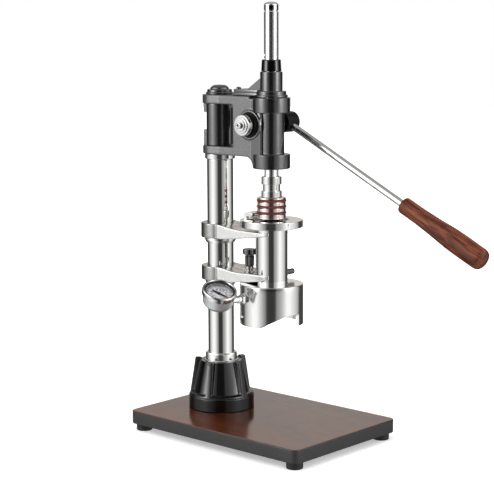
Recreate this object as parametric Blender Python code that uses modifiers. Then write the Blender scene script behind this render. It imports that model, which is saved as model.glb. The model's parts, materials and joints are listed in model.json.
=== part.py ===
"""Lever espresso machine: a rack and pinion press on a column, with a brew cylinder held by two arms.

Metres, +Z up, front (the user's side, where the lever points) towards -Y, lever hub towards +X.
The origin is on the surface that the machine stands on, under the middle of the whole machine.
Heights named "rise" are measured from the top of the board.
"""

import math

import bmesh
import bpy
from mathutils import Matrix, Vector

# Clearances and cutting allowances
GAP = 0.0003
OVERRUN = 0.002
MERGE = 0.00001

# Board and its rubber pads
ORIGIN_TO_COLUMN = 0.1313
BOARD_WIDTH = 0.172
BOARD_LENGTH = 0.250
BOARD_THICKNESS = 0.015
BOARD_CORNER = 0.008
BOARD_EDGE = 0.0008
PAD_RADIUS = 0.0090
PAD_HEIGHT = 0.008
PAD_BULGE = 0.0006
PAD_INSET = 0.012
COLUMN_SETBACK = 0.0635

# Column foot: a ribbed cone standing on a plain ring
FOOT_RING_RADIUS = 0.0375
FOOT_RING_HEIGHT = 0.0148
FOOT_RING_EDGE = 0.0016
CONE_LOW_RADIUS = 0.0344
CONE_HIGH_RADIUS = 0.0272
FOOT_TOP_RISE = 0.0562
FOOT_SOCKET_FLOOR = 0.0060
RIB_COUNT = 5
RIB_WIDTH = 0.0052
RIB_PROUD = 0.0017
RIB_TURN = math.radians(-90.0)
FOOT_COLLAR_RADIUS = 0.0180
FOOT_COLLAR_HEIGHT = 0.0092
FOOT_COLLAR_LIP_RADIUS = 0.0195
FOOT_COLLAR_LIP = 0.0018
FOOT_COLLAR_SUNK = 0.0016

# Column, the sleeve that the head turns on, and the rod that ties the stack to the board
COLUMN_RADIUS = 0.0149
COLUMN_WALL = 0.0024
COLUMN_TOP_RISE = 0.2857
SPIGOT_RADIUS = 0.0100
SPIGOT_PLUG_LENGTH = 0.030
SLEEVE_RADIUS = 0.0140
HEAD_COLLAR_RADIUS = 0.0171
HEAD_COLLAR_HEIGHT = 0.0060
CAP_FLANGE_RADIUS = 0.0140
CAP_FLANGE_HEIGHT = 0.0050
CAP_DOME_RADIUS = 0.0092
CAP_DOME_HEIGHT = 0.0052
CAP_STUD_RADIUS = 0.0040
CAP_STUD_LENGTH = 0.012
TIE_ROD_RADIUS = 0.0040
TIE_HEAD_RADIUS = 0.0062
TIE_HEAD_HEIGHT = 0.0042
TIE_WASHER_RADIUS = 0.0125
TIE_WASHER_THICKNESS = 0.0015
TIE_ROD_BITE = 0.014

# Ram, rack and pinion
RAM_REACH = 0.0773
RAM_RADIUS = 0.00785
RAM_CAP_STAND = 0.0512
RAM_CAP_HEIGHT = 0.0105
RAM_CAP_GROOVE = 0.0008
PINION_TEETH = 16
PINION_PITCH_RADIUS = 0.0120
PINION_FACE = 0.014
PINION_LIFT = 0.0353
RACK_PITCH_OFFSET = 0.0047
RACK_UP_ALLOWANCE = 0.017
RACK_DOWN_ALLOWANCE = 0.072
TOOTH_ADDENDUM_SHARE = 0.90
TOOTH_DEDENDUM_SHARE = 1.20
PINION_TOOTH_SHARE = 0.44
RACK_TOOTH_SHARE = 0.46
PRESSURE_ANGLE = math.radians(20.0)
SHAFT_RADIUS = 0.0060

# Piston with its coupling nut and seals
COUPLER_CLEAR = 0.0093
COUPLER_FOOT_RADIUS = 0.0114
COUPLER_FOOT_HEIGHT = 0.0068
COUPLER_NECK_RADIUS = 0.0096
COUPLER_NECK_HEIGHT = 0.0070
COUPLER_HEAD_RADIUS = 0.0112
COUPLER_HEAD_HEIGHT = 0.0087
COUPLER_EDGE = 0.0006
RAM_SEAT_DEPTH = 0.0150
PISTON_HEIGHT = 0.0239
PISTON_RADIUS = 0.0158
PISTON_EDGE = 0.0010
SEAL_HEIGHTS = (0.0075, 0.0143, 0.0210)
SEAL_THICKNESS = 0.0025
SEAL_OUTER_RADIUS = 0.0167
PISTON_SCREW_RADIUS = 0.0048
PISTON_SCREW_HEAD = 0.0026
PISTON_SCREW_SHANK_RADIUS = 0.0024
PISTON_SCREW_LENGTH = 0.016

# Brew cylinder, its flange and the group head below it
CYLINDER_RADIUS = 0.0178
CYLINDER_BORE_RADIUS = 0.0170
CYLINDER_FOOT_RISE = 0.1447
FLANGE_RADIUS = 0.03475
FLANGE_RISE = 0.2156
FLANGE_THICKNESS = 0.0078
FLANGE_EDGE = 0.0007
FLANGE_STEP_RADIUS = 0.0289
FLANGE_STEP_HEIGHT = 0.0014
FLANGE_SEAT_DEPTH = 0.0026
MOUTH_LIP = 0.0022
MOUTH_RADIUS = 0.0196
FLANGE_LUG_WIDTH = 0.020
FLANGE_LUG_LENGTH = 0.012
FLANGE_LUG_HEIGHT = 0.0055
FLANGE_LUG_BACK = 0.020
FLANGE_LUG_SLOT = 0.0030
GROUP_RADIUS = 0.0353
GROUP_EDGE = 0.0012
GROUP_BORE_RADIUS = 0.0310
GROUP_TOP_RISE = 0.1526
GROUP_PLATE = 0.0102
GROUP_HEIGHT = 0.0450
NOTCH_HEADING = math.radians(248.0)
NOTCH_START = 0.0262
NOTCH_END = 0.0183
NOTCH_HEIGHT = 0.0129
NOTCH_RISE_SHARES = ((-1.0, 0.0), (-0.756, 0.33), (-0.363, 0.69), (0.0, 0.945))
LUG_SLOT_HEADINGS = (math.radians(146.0), math.radians(326.0))
LUG_SLOT_RISE = 0.1120
LUG_SLOT_HEIGHT = 0.0060
LUG_SLOT_WIDTH = 0.0165
GASKET_OUTER_RADIUS = 0.0306
GASKET_INNER_RADIUS = 0.0248
GASKET_THICKNESS = 0.0050
SCREEN_RADIUS = 0.0243
SCREEN_THICKNESS = 0.0012
SCREEN_RIM = 0.0026
FEED_HOLE_COUNT = 6
FEED_HOLE_RADIUS = 0.0016
FEED_HOLE_RING = 0.0100
SCREEN_SCREW_RADIUS = 0.0042
SCREEN_SCREW_HEAD = 0.0022
SCREEN_SCREW_SHANK_RADIUS = 0.0022

# Arms from the column to the cylinder, and their stop collars
ARM_RING_WALL = 0.0071
ARM_WALL = 0.0014
ARM_FLANK = 0.0196
ARM_FLANK_START = 0.0093
ARM_TIP_REACH = 0.0095
# Side lines of the arms: share of the arm's length from the column's axis, and rise
LOWER_ARM_TOP_LINE = (
    (0.0, 0.1650),
    (0.229, 0.1649),
    (0.376, 0.1628),
    (0.521, 0.1623),
    (0.675, 0.1629),
    (1.0, 0.1634),
)
LOWER_ARM_BOTTOM_LINE = (
    (0.0, 0.1490),
    (0.23, 0.1490),
    (0.412, 0.1501),
    (0.562, 0.1521),
    (0.71, 0.1536),
    (0.881, 0.1561),
    (1.0, 0.1588),
)
UPPER_ARM_TOP_LINE = (
    (0.0, 0.2140),
    (0.119, 0.2137),
    (0.227, 0.2130),
    (0.326, 0.2115),
    (0.412, 0.2106),
    (0.53, 0.2100),
    (1.0, 0.2102),
)
UPPER_ARM_BOTTOM_LINE = (
    (0.0, 0.1972),
    (0.197, 0.1974),
    (0.343, 0.1986),
    (0.488, 0.2003),
    (0.643, 0.2020),
    (0.815, 0.2040),
    (1.0, 0.2066),
)
ARM_EDGE = 0.0006
SLIT_WIDTH = 0.0016
SLIT_FORWARD = 0.0050
CLAMP_SCREW_RADIUS = 0.0020
CLAMP_SCREW_HEAD_RADIUS = 0.0035
CLAMP_SCREW_HEAD = 0.0040
CLAMP_SCREW_LENGTH = 0.021
CLAMP_SCREW_CLEAR = 0.0033
STOP_COLLAR_RADIUS = 0.0178
STOP_COLLAR_FOOT_RADIUS = 0.0166
STOP_COLLAR_HEIGHT = 0.0056
ARM_PIN_RADIUS = 0.0032
ARM_PIN_END = 0.0385
ARM_PIN_BITE = 0.0012
ARM_PIN_RISE = 0.1608
ARM_PIN_BACK = 0.0020

# Knob on the lower arm
KNOB_SIDE = 0.0065
KNOB_BACK = 0.0270
KNOB_SEAT_RISE = 0.1622
KNOB_SEAT_RADIUS = 0.0060
KNOB_FERRULE_RADIUS = 0.0047
KNOB_FERRULE_FOOT_RADIUS = 0.0036
KNOB_FERRULE_HEIGHT = 0.0078
KNOB_BODY_RADIUS = 0.0053
KNOB_BODY_HEIGHT = 0.0132
KNOB_LIP_RADIUS = 0.0088
KNOB_LIP_HEIGHT = 0.0052
KNOB_FLUTES = 8
KNOB_FLUTE_RADIUS = 0.0012
KNOB_SCREW_RADIUS = 0.0026
KNOB_SCREW_LENGTH = 0.007

# Pressure gauge and its stem
STEM_HEADING = math.radians(163.5)
STEM_RISE = 0.1380
STEM_RADIUS = 0.0038
STEM_BITE = 0.0026
STEM_NUT_FLATS = 0.0108
STEM_NUT_THICKNESS = 0.0048
GAUGE_DISTANCE = 0.0680
GAUGE_RISE = 0.1432
GAUGE_ROLL = math.radians(25.8)
GAUGE_LEAN = math.radians(5.0)
CASE_RADIUS = 0.0183
CASE_BACK_RADIUS = 0.0150
CASE_BACK_DEPTH = 0.0090
CASE_TAPER = 0.0045
CASE_FRONT = 0.0060
DIAL_RADIUS = 0.0165
DIAL_THICKNESS = 0.0008
DIAL_DEPTH = 0.0024
GLASS_THICKNESS = 0.0012
BEZEL_RADIUS = 0.0192
BEZEL_SKIRT = 0.0036
BEZEL_OPENING = 0.0162
BEZEL_LIP = 0.0015
NEEDLE_LENGTH = 0.0120
NEEDLE_TAIL = 0.0050
NEEDLE_WIDTH = 0.0012
NEEDLE_THICKNESS = 0.0006
NEEDLE_HUB_RADIUS = 0.0018
NEEDLE_TURN = math.radians(-22.0)

# Head casting that swings on the column and guides the ram
KNUCKLE_RADIUS = 0.0191
KNUCKLE_LOW_HEIGHT = 0.0092
KNUCKLE_HIGH_HEIGHT = 0.0098
KNUCKLE_SPAN = 0.0660
WEB_HALF = 0.0168
WINDOW_REACH = 0.0366
WINDOW_CORNER = 0.0050
WEB_FRONT_SETBACK = 0.0007
HOUSING_RADIUS = 0.0142
HOUSING_RING_RADIUS = 0.02065
HOUSING_DROP = 0.0117
HOUSING_LOW_RING_HEIGHT = 0.0150
HOUSING_HIGH_RING_HEIGHT = 0.0162
HOUSING_TOP_SETBACK = 0.0010
HOUSING_EDGE = 0.0012
THROAT_REACH = 0.0238
THROAT_STEPS = 5
EAR_HALF_WIDTH = 0.0065
EAR_REACH = 0.0188
EAR_LOW_HEIGHT = 0.0170
EAR_HIGH_HEIGHT = 0.0105
BOSS_RADIUS = 0.0160
BOSS_PROUD = 0.0019
FAR_BOSS_RADIUS = 0.0105
FAR_BOSS_END = 0.0300
BUSH_RADIUS = 0.0080
GUIDE_BUSH_WALL = 0.0014

# Cover of the pinion, and what is stacked on the shaft's near end
COVER_STEP_RADIUS = 0.0136
COVER_FACE_RADIUS = 0.0122
COVER_PROUD = 0.0012
COVER_DEPTH = 0.0080
COVER_FACE = 0.0020
SHAFT_WASHER_RADIUS = 0.0104
SHAFT_WASHER_THICKNESS = 0.0018
END_NUT_RADIUS = 0.0113
END_NUT_RIM = 0.0046
END_NUT_STEP_RADII = (0.0090, 0.0064)
END_NUT_STEP = 0.0014
END_SCREW_RADIUS = 0.0036
END_SCREW_HEAD = 0.0026
END_SCREW_SOCKET_RADIUS = 0.0017

# Guide tower on the head: rings, collar, plate with its rib, and the cap above
TOWER_STEP_RADII = (0.0179, 0.0162)
TOWER_STEP_HEIGHTS = (0.0026, 0.0041)
TOWER_COLLAR_RADIUS = 0.0122
TOWER_HEIGHT = 0.0278
TOWER_PLATE_HALF = 0.0125
TOWER_PLATE_REACH = 0.0480
TOWER_PLATE_THICKNESS = 0.0034
TOWER_TOP_PLATE_SETBACK = 0.0016
TOWER_RIB_HALF = 0.0035
TOWER_RIB_LENGTH = 0.0200
TOWER_RIB_HEIGHT = 0.0105
GUIDE_CAP_HEIGHT = 0.0132
GUIDE_CAP_LOW_RADIUS = 0.0110
GUIDE_CAP_HIGH_RADIUS = 0.0103
GUIDE_CAP_EDGE = 0.0010
PLATE_SCREW_RADIUS = 0.0030
PLATE_SCREW_HEAD = 0.0018
PLATE_SCREW_SHANK_RADIUS = 0.0014
PLATE_SCREW_BITE = 0.006
PLATE_SCREW_BACK = 0.0483

# Lever
LEVER_SIDE = 0.0450
LEVER_DROOP = math.radians(26.5)
HUB_RADIUS = 0.0116
HUB_LENGTH = 0.0200
HUB_EDGE = 0.0018
HUB_SCREW_RADIUS = 0.0046
HUB_SCREW_HEAD = 0.0020
ROD_RADIUS = 0.0040
HANDLE_START = 0.1818
HANDLE_END = 0.2960
HANDLE_SOCKET = 0.0300
HANDLE_GIRTH_SHARES = (
    (0.000, 0.66),
    (0.015, 0.71),
    (0.40, 0.80),
    (0.65, 0.915),
    (0.86, 1.00),
    (0.93, 0.94),
    (0.975, 0.72),
    (0.994, 0.36),
)
HANDLE_RADIUS = 0.0112

# How finely round pieces are divided
COARSE = 12
MEDIUM = 20
FINE = 32

# Places worked out from the sizes above
COLUMN_Y = ORIGIN_TO_COLUMN
RAM_Y = COLUMN_Y - RAM_REACH
PINION_Y = RAM_Y + RACK_PITCH_OFFSET + PINION_PITCH_RADIUS
BOARD_BOTTOM = PAD_HEIGHT
BOARD_TOP = BOARD_BOTTOM + BOARD_THICKNESS
BOARD_Y = COLUMN_Y + COLUMN_SETBACK - BOARD_LENGTH / 2
KNUCKLE_RISE = COLUMN_TOP_RISE + HEAD_COLLAR_HEIGHT + GAP
KNUCKLE_TOP_RISE = KNUCKLE_RISE + KNUCKLE_SPAN
PLATE_SCREW_REACH = RAM_REACH - PLATE_SCREW_BACK
PINION_RISE = KNUCKLE_RISE + PINION_LIFT
HOUSING_BOTTOM_RISE = KNUCKLE_RISE - HOUSING_DROP
HOUSING_TOP_RISE = KNUCKLE_TOP_RISE - HOUSING_TOP_SETBACK
TOWER_TOP_RISE = HOUSING_TOP_RISE + TOWER_HEIGHT
GUIDE_CAP_RISE = TOWER_TOP_RISE + GUIDE_CAP_HEIGHT
RAM_CAP_RISE = GUIDE_CAP_RISE + RAM_CAP_STAND
ARM_LENGTH = RAM_REACH + ARM_TIP_REACH
ARM_RING_RADIUS = COLUMN_RADIUS + ARM_RING_WALL
CLAMP_SCREW_OFFSET = COLUMN_RADIUS + CLAMP_SCREW_CLEAR
FLANGE_TOP_RISE = FLANGE_RISE + FLANGE_THICKNESS
CYLINDER_TOP_RISE = FLANGE_RISE + FLANGE_SEAT_DEPTH
GROUP_FLOOR_RISE = GROUP_TOP_RISE - GROUP_PLATE
COUPLER_TOP_RISE = HOUSING_BOTTOM_RISE - COUPLER_CLEAR
COUPLER_HEAD_RISE = COUPLER_TOP_RISE - COUPLER_HEAD_HEIGHT
COUPLER_NECK_RISE = COUPLER_HEAD_RISE - COUPLER_NECK_HEIGHT
COUPLER_RISE = COUPLER_NECK_RISE - COUPLER_FOOT_HEIGHT
PISTON_RISE = COUPLER_RISE - GAP - PISTON_HEIGHT
SEAL_RISES = tuple(PISTON_RISE + height for height in SEAL_HEIGHTS)
RAM_FOOT_RISE = COUPLER_TOP_RISE - RAM_SEAT_DEPTH + GAP
SLEEVE_TOP_RISE = KNUCKLE_TOP_RISE + GAP
BOSS_FACE = WEB_HALF + BOSS_PROUD
COVER_FACE_X = BOSS_FACE + COVER_PROUD + COVER_FACE
WASHER_FACE_X = COVER_FACE_X + GAP + SHAFT_WASHER_THICKNESS
HUB_NEAR = LEVER_SIDE - HUB_LENGTH / 2
HUB_FAR = LEVER_SIDE + HUB_LENGTH / 2

UPRIGHT = (0.0, 0.0, 0.0)
ALONG_X = (0.0, math.pi / 2, 0.0)
ALONG_MINUS_X = (0.0, -math.pi / 2, 0.0)
ALONG_Y = (-math.pi / 2, 0.0, 0.0)
SIDE_ON = (math.pi / 2, 0.0, math.pi / 2)

# Finishes: colour, roughness, metallic
FINISHES = {
    "walnut_board": ((0.115, 0.062, 0.040), 0.38, 0.0),
    "pad_rubber": ((0.012, 0.012, 0.012), 0.75, 0.0),
    "gloss_black": ((0.010, 0.010, 0.011), 0.16, 0.0),
    "satin_black": ((0.030, 0.030, 0.032), 0.38, 0.2),
    "polished_steel": ((0.78, 0.78, 0.77), 0.10, 1.0),
    "cast_steel": ((0.62, 0.62, 0.60), 0.34, 1.0),
    "dark_steel": ((0.20, 0.20, 0.21), 0.35, 1.0),
    "bronze": ((0.55, 0.36, 0.16), 0.30, 1.0),
    "black_plastic": ((0.012, 0.012, 0.012), 0.42, 0.0),
    "red_silicone": ((0.42, 0.075, 0.040), 0.45, 0.0),
    "gasket_rubber": ((0.05, 0.05, 0.05), 0.70, 0.0),
    "gauge_glass": ((0.90, 0.93, 0.94), 0.05, 0.0),
    "dial_card": ((0.80, 0.80, 0.78), 0.50, 0.0),
    "needle_black": ((0.02, 0.02, 0.02), 0.40, 0.0),
    "rosewood": ((0.30, 0.095, 0.048), 0.36, 0.0),
}


def clear_scene():
    """Removes whatever the scene holds and starts the two collections."""
    for obj in list(bpy.data.objects):
        bpy.data.objects.remove(obj, do_unlink=True)
    made = []
    for name in ("lever_espresso_machine", "cutters"):
        collection = bpy.data.collections.new(name)
        bpy.context.scene.collection.children.link(collection)
        made.append(collection)
    return made


PARTS, CUTTERS = clear_scene()


def finish_of(name):
    """The material of this finish, made once."""
    found = bpy.data.materials.get(name)
    if found:
        return found
    colour, roughness, metallic = FINISHES[name]
    material = bpy.data.materials.new(name)
    material.use_nodes = True
    shader = material.node_tree.nodes["Principled BSDF"]
    shader.inputs["Base Color"].default_value = (*colour, 1.0)
    shader.inputs["Roughness"].default_value = roughness
    shader.inputs["Metallic"].default_value = metallic
    return material


def settle(obj, place=None, turn=UPRIGHT, parent=None):
    """Gives an object its place, its turn and what it hangs from."""
    obj.location = place or (0.0, 0.0, 0.0)
    obj.rotation_euler = turn
    obj.parent = parent
    return obj


def keep(obj, finish, smooth=True):
    """Files an object as a sub-part, with its finish."""
    for collection in list(obj.users_collection):
        collection.objects.unlink(obj)
    PARTS.objects.link(obj)
    obj.data.materials.clear()
    obj.data.materials.append(finish_of(finish))
    if smooth and obj.type == "MESH":
        obj.data.shade_smooth()
        obj.data.set_sharp_from_angle(angle=math.radians(35.0))
    return obj


def as_cutter(obj):
    """Files an object as a helper that is cut away or joined on, and isn't a sub-part."""
    for collection in list(obj.users_collection):
        collection.objects.unlink(obj)
    CUTTERS.objects.link(obj)
    obj.hide_render = True
    obj.display_type = "WIRE"
    return obj


def combine(obj, other, operation):
    """Adds a Boolean on obj, with other as its helper."""
    as_cutter(other)
    change = obj.modifiers.new(f"{operation.lower()} {other.name}", "BOOLEAN")
    change.operation = operation
    change.solver = "EXACT"
    change.object = other
    return obj


def cut(obj, other):
    """Takes other's shape out of obj."""
    return combine(obj, other, "DIFFERENCE")


def join(obj, other):
    """Joins other's shape to obj."""
    return combine(obj, other, "UNION")


def empty(name, place, turn=UPRIGHT, parent=None):
    """A plain axis that pieces hang from."""
    obj = bpy.data.objects.new(name, None)
    obj.empty_display_size = SHAFT_RADIUS
    PARTS.objects.link(obj)
    return settle(obj, place, turn, parent)


def rounded(obj, width, segments=2):
    """Rounds an object's edges."""
    bevel = obj.modifiers.new("edges", "BEVEL")
    bevel.width = width
    bevel.segments = segments
    bevel.limit_method = "ANGLE"
    bevel.angle_limit = math.radians(40.0)
    return obj


def turned(name, profile, steps=MEDIUM, closed=False):
    """A turned shape: (radius, height) points down the outer side, swept round Z.

    An open profile starts and ends on the axis; a closed one is a ring's section.
    """
    mesh = bpy.data.meshes.new(name)
    points = [(radius, 0.0, height) for radius, height in profile]
    edges = [(i, i + 1) for i in range(len(points) - 1)]
    if closed:
        edges.append((len(points) - 1, 0))
    mesh.from_pydata(points, edges, [])
    obj = bpy.data.objects.new(name, mesh)
    PARTS.objects.link(obj)
    screw = obj.modifiers.new("turn", "SCREW")
    screw.steps = steps
    screw.render_steps = steps
    screw.use_merge_vertices = True
    screw.merge_threshold = MERGE
    return obj


def ring(name, outer, inner, low, high, steps=MEDIUM, edge=0.0):
    """A plain ring with its outer edges chamfered by edge."""
    profile = [(outer - edge, high), (outer, high - edge), (outer, low + edge), (outer - edge, low)]
    if not edge:
        profile = [(outer, high), (outer, low)]
    return turned(name, profile + [(inner, low), (inner, high)], steps, closed=True)


def disc(name, radius, low, high, steps=MEDIUM, edge=0.0):
    """A solid disc or bar with its edges chamfered by edge."""
    profile = [(0.0, high), (radius - edge, high), (radius, high - edge)]
    profile += [(radius, low + edge), (radius - edge, low), (0.0, low)]
    if not edge:
        profile = [(0.0, high), (radius, high), (radius, low), (0.0, low)]
    return turned(name, profile, steps)


def bar(name, radius, low, high, steps=MEDIUM):
    """A plain cylinder primitive standing on its own Z, from low to high."""
    mesh = bpy.data.meshes.new(name)
    body = bmesh.new()
    bmesh.ops.create_cone(
        body,
        cap_ends=True,
        segments=steps,
        radius1=radius,
        radius2=radius,
        depth=high - low,
        matrix=Matrix.Translation((0.0, 0.0, (low + high) / 2)),
    )
    body.to_mesh(mesh)
    body.free()
    obj = bpy.data.objects.new(name, mesh)
    PARTS.objects.link(obj)
    return obj


def block(name, low, high):
    """A box primitive between two corners."""
    mesh = bpy.data.meshes.new(name)
    body = bmesh.new()
    size = [b - a for a, b in zip(low, high)]
    middle = [(a + b) / 2 for a, b in zip(low, high)]
    bmesh.ops.create_cube(body, size=1.0, matrix=Matrix.Translation(middle) @ Matrix.Diagonal((*size, 1.0)))
    body.to_mesh(mesh)
    body.free()
    obj = bpy.data.objects.new(name, mesh)
    PARTS.objects.link(obj)
    return obj


def plate(name, outline, low, high):
    """A flat outline in XY made solid from low to high along Z, as a mesh with its caps welded."""
    curve = bpy.data.curves.new(name, "CURVE")
    curve.dimensions = "2D"
    curve.fill_mode = "BOTH"
    curve.extrude = (high - low) / 2
    spline = curve.splines.new("POLY")
    spline.points.add(len(outline) - 1)
    for point, (x, y) in zip(spline.points, outline):
        point.co = (x, y, 0.0, 1.0)
    spline.use_cyclic_u = True
    drawn = bpy.data.objects.new(name + "_outline", curve)
    PARTS.objects.link(drawn)
    bpy.context.view_layer.update()
    graph = bpy.context.evaluated_depsgraph_get()
    mesh = bpy.data.meshes.new_from_object(drawn.evaluated_get(graph))
    mesh.name = name
    mesh.transform(Matrix.Translation((0.0, 0.0, (low + high) / 2)))
    body = bmesh.new()
    body.from_mesh(mesh)
    bmesh.ops.remove_doubles(body, verts=body.verts, dist=MERGE)
    bmesh.ops.recalc_face_normals(body, faces=body.faces)
    body.to_mesh(mesh)
    body.free()
    obj = bpy.data.objects.new(name, mesh)
    PARTS.objects.link(obj)
    bpy.data.objects.remove(drawn, do_unlink=True)
    return obj


def arc(centre, radius, start, end, steps):
    """Points along an arc, both ends included."""
    turns = [start + (end - start) * i / steps for i in range(steps + 1)]
    return [(centre[0] + radius * math.cos(t), centre[1] + radius * math.sin(t)) for t in turns]


def polygon(radius, sides, turn=0.0):
    """The corners of a regular polygon."""
    return arc((0.0, 0.0), radius, turn, turn + 2 * math.pi * (sides - 1) / sides, sides - 1)


def make_board():
    """The wooden board with its round corners, bored for the tie rod."""
    half_width, half_length = BOARD_WIDTH / 2, BOARD_LENGTH / 2
    outline = []
    for quarter, (sx, sy) in enumerate(((1, 1), (-1, 1), (-1, -1), (1, -1))):
        centre = (sx * (half_width - BOARD_CORNER), sy * (half_length - BOARD_CORNER))
        start = quarter * math.pi / 2
        outline += arc(centre, BOARD_CORNER, start, start + math.pi / 2, 5)
    board = plate("base_board", outline, BOARD_BOTTOM, BOARD_TOP)
    rounded(board, BOARD_EDGE, segments=1)
    settle(board, (0.0, BOARD_Y, 0.0))
    hole = bar("tie_hole", TIE_ROD_RADIUS + GAP, BOARD_BOTTOM - OVERRUN, BOARD_TOP + OVERRUN, COARSE)
    cut(board, settle(hole, (0.0, COLUMN_Y, 0.0)))
    keep(board, "walnut_board")


def make_pads():
    """Four rubber pads under the corners, slightly bulged."""
    top = BOARD_BOTTOM - GAP
    profile = [
        (0.0, top),
        (PAD_RADIUS - PAD_BULGE, top),
        (PAD_RADIUS, top / 2),
        (PAD_RADIUS - PAD_BULGE, 0.0),
        (0.0, 0.0),
    ]
    across = BOARD_WIDTH / 2 - PAD_INSET
    along = BOARD_LENGTH / 2 - PAD_INSET
    corners = {
        "front_left": (-across, -along),
        "front_right": (across, -along),
        "back_left": (-across, along),
        "back_right": (across, along),
    }
    for corner, (x, y) in corners.items():
        pad = turned(f"rubber_pad_{corner}", profile, MEDIUM)
        settle(pad, (x, BOARD_Y + y, 0.0))
        keep(pad, "pad_rubber")


def make_column_foot():
    """The ribbed cone: a turned body with ribs set round it and a stepped socket for the column."""
    low = BOARD_TOP + GAP
    top = BOARD_TOP + FOOT_TOP_RISE
    ring_top = BOARD_TOP + FOOT_RING_HEIGHT
    profile = [
        (0.0, top),
        (CONE_HIGH_RADIUS, top),
        (CONE_LOW_RADIUS, ring_top + FOOT_RING_EDGE),
        (FOOT_RING_RADIUS - FOOT_RING_EDGE, ring_top),
        (FOOT_RING_RADIUS, ring_top - FOOT_RING_EDGE),
        (FOOT_RING_RADIUS, low),
        (0.0, low),
    ]
    foot = turned("column_foot", profile, FINE)
    settle(foot, (0.0, COLUMN_Y, 0.0))
    rib_outline = [
        (CONE_HIGH_RADIUS / 2, top),
        (CONE_HIGH_RADIUS / 2, low + FOOT_RING_EDGE),
        (CONE_LOW_RADIUS + RIB_PROUD, low + FOOT_RING_EDGE),
        (CONE_LOW_RADIUS + RIB_PROUD, ring_top + FOOT_RING_EDGE),
        (CONE_HIGH_RADIUS + RIB_PROUD, top - RIB_PROUD),
        (CONE_HIGH_RADIUS, top),
    ]
    for number in range(RIB_COUNT):
        rib = plate(f"foot_rib_{number}", rib_outline, -RIB_WIDTH / 2, RIB_WIDTH / 2)
        heading = RIB_TURN + 2 * math.pi * number / RIB_COUNT
        join(foot, settle(rib, (0.0, COLUMN_Y, 0.0), (math.pi / 2, 0.0, heading)))
    recess = top - FOOT_COLLAR_SUNK
    socket = [
        (0.0, top + OVERRUN),
        (FOOT_COLLAR_LIP_RADIUS + GAP, top + OVERRUN),
        (FOOT_COLLAR_LIP_RADIUS + GAP, recess),
        (COLUMN_RADIUS + GAP, recess),
        (COLUMN_RADIUS + GAP, BOARD_TOP + FOOT_SOCKET_FLOOR),
        (TIE_ROD_RADIUS + GAP, BOARD_TOP + FOOT_SOCKET_FLOOR),
        (TIE_ROD_RADIUS + GAP, low - OVERRUN),
        (0.0, low - OVERRUN),
    ]
    cut(foot, settle(turned("foot_socket", socket, MEDIUM), (0.0, COLUMN_Y, 0.0)))
    keep(foot, "gloss_black")


def make_foot_collar():
    """The bright ring where the column enters its foot, flared at its lower lip."""
    low = BOARD_TOP + FOOT_TOP_RISE - FOOT_COLLAR_SUNK + GAP
    high = low + FOOT_COLLAR_HEIGHT
    inner = COLUMN_RADIUS + GAP
    profile = [
        (FOOT_COLLAR_RADIUS - COUPLER_EDGE, high),
        (FOOT_COLLAR_RADIUS, high - COUPLER_EDGE),
        (FOOT_COLLAR_RADIUS, low + FOOT_COLLAR_LIP),
        (FOOT_COLLAR_LIP_RADIUS, low + FOOT_COLLAR_LIP / 2),
        (FOOT_COLLAR_LIP_RADIUS, low),
        (inner, low),
        (inner, high),
    ]
    collar = turned("foot_collar", profile, MEDIUM, closed=True)
    settle(collar, (0.0, COLUMN_Y, 0.0))
    keep(collar, "polished_steel")


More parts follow.
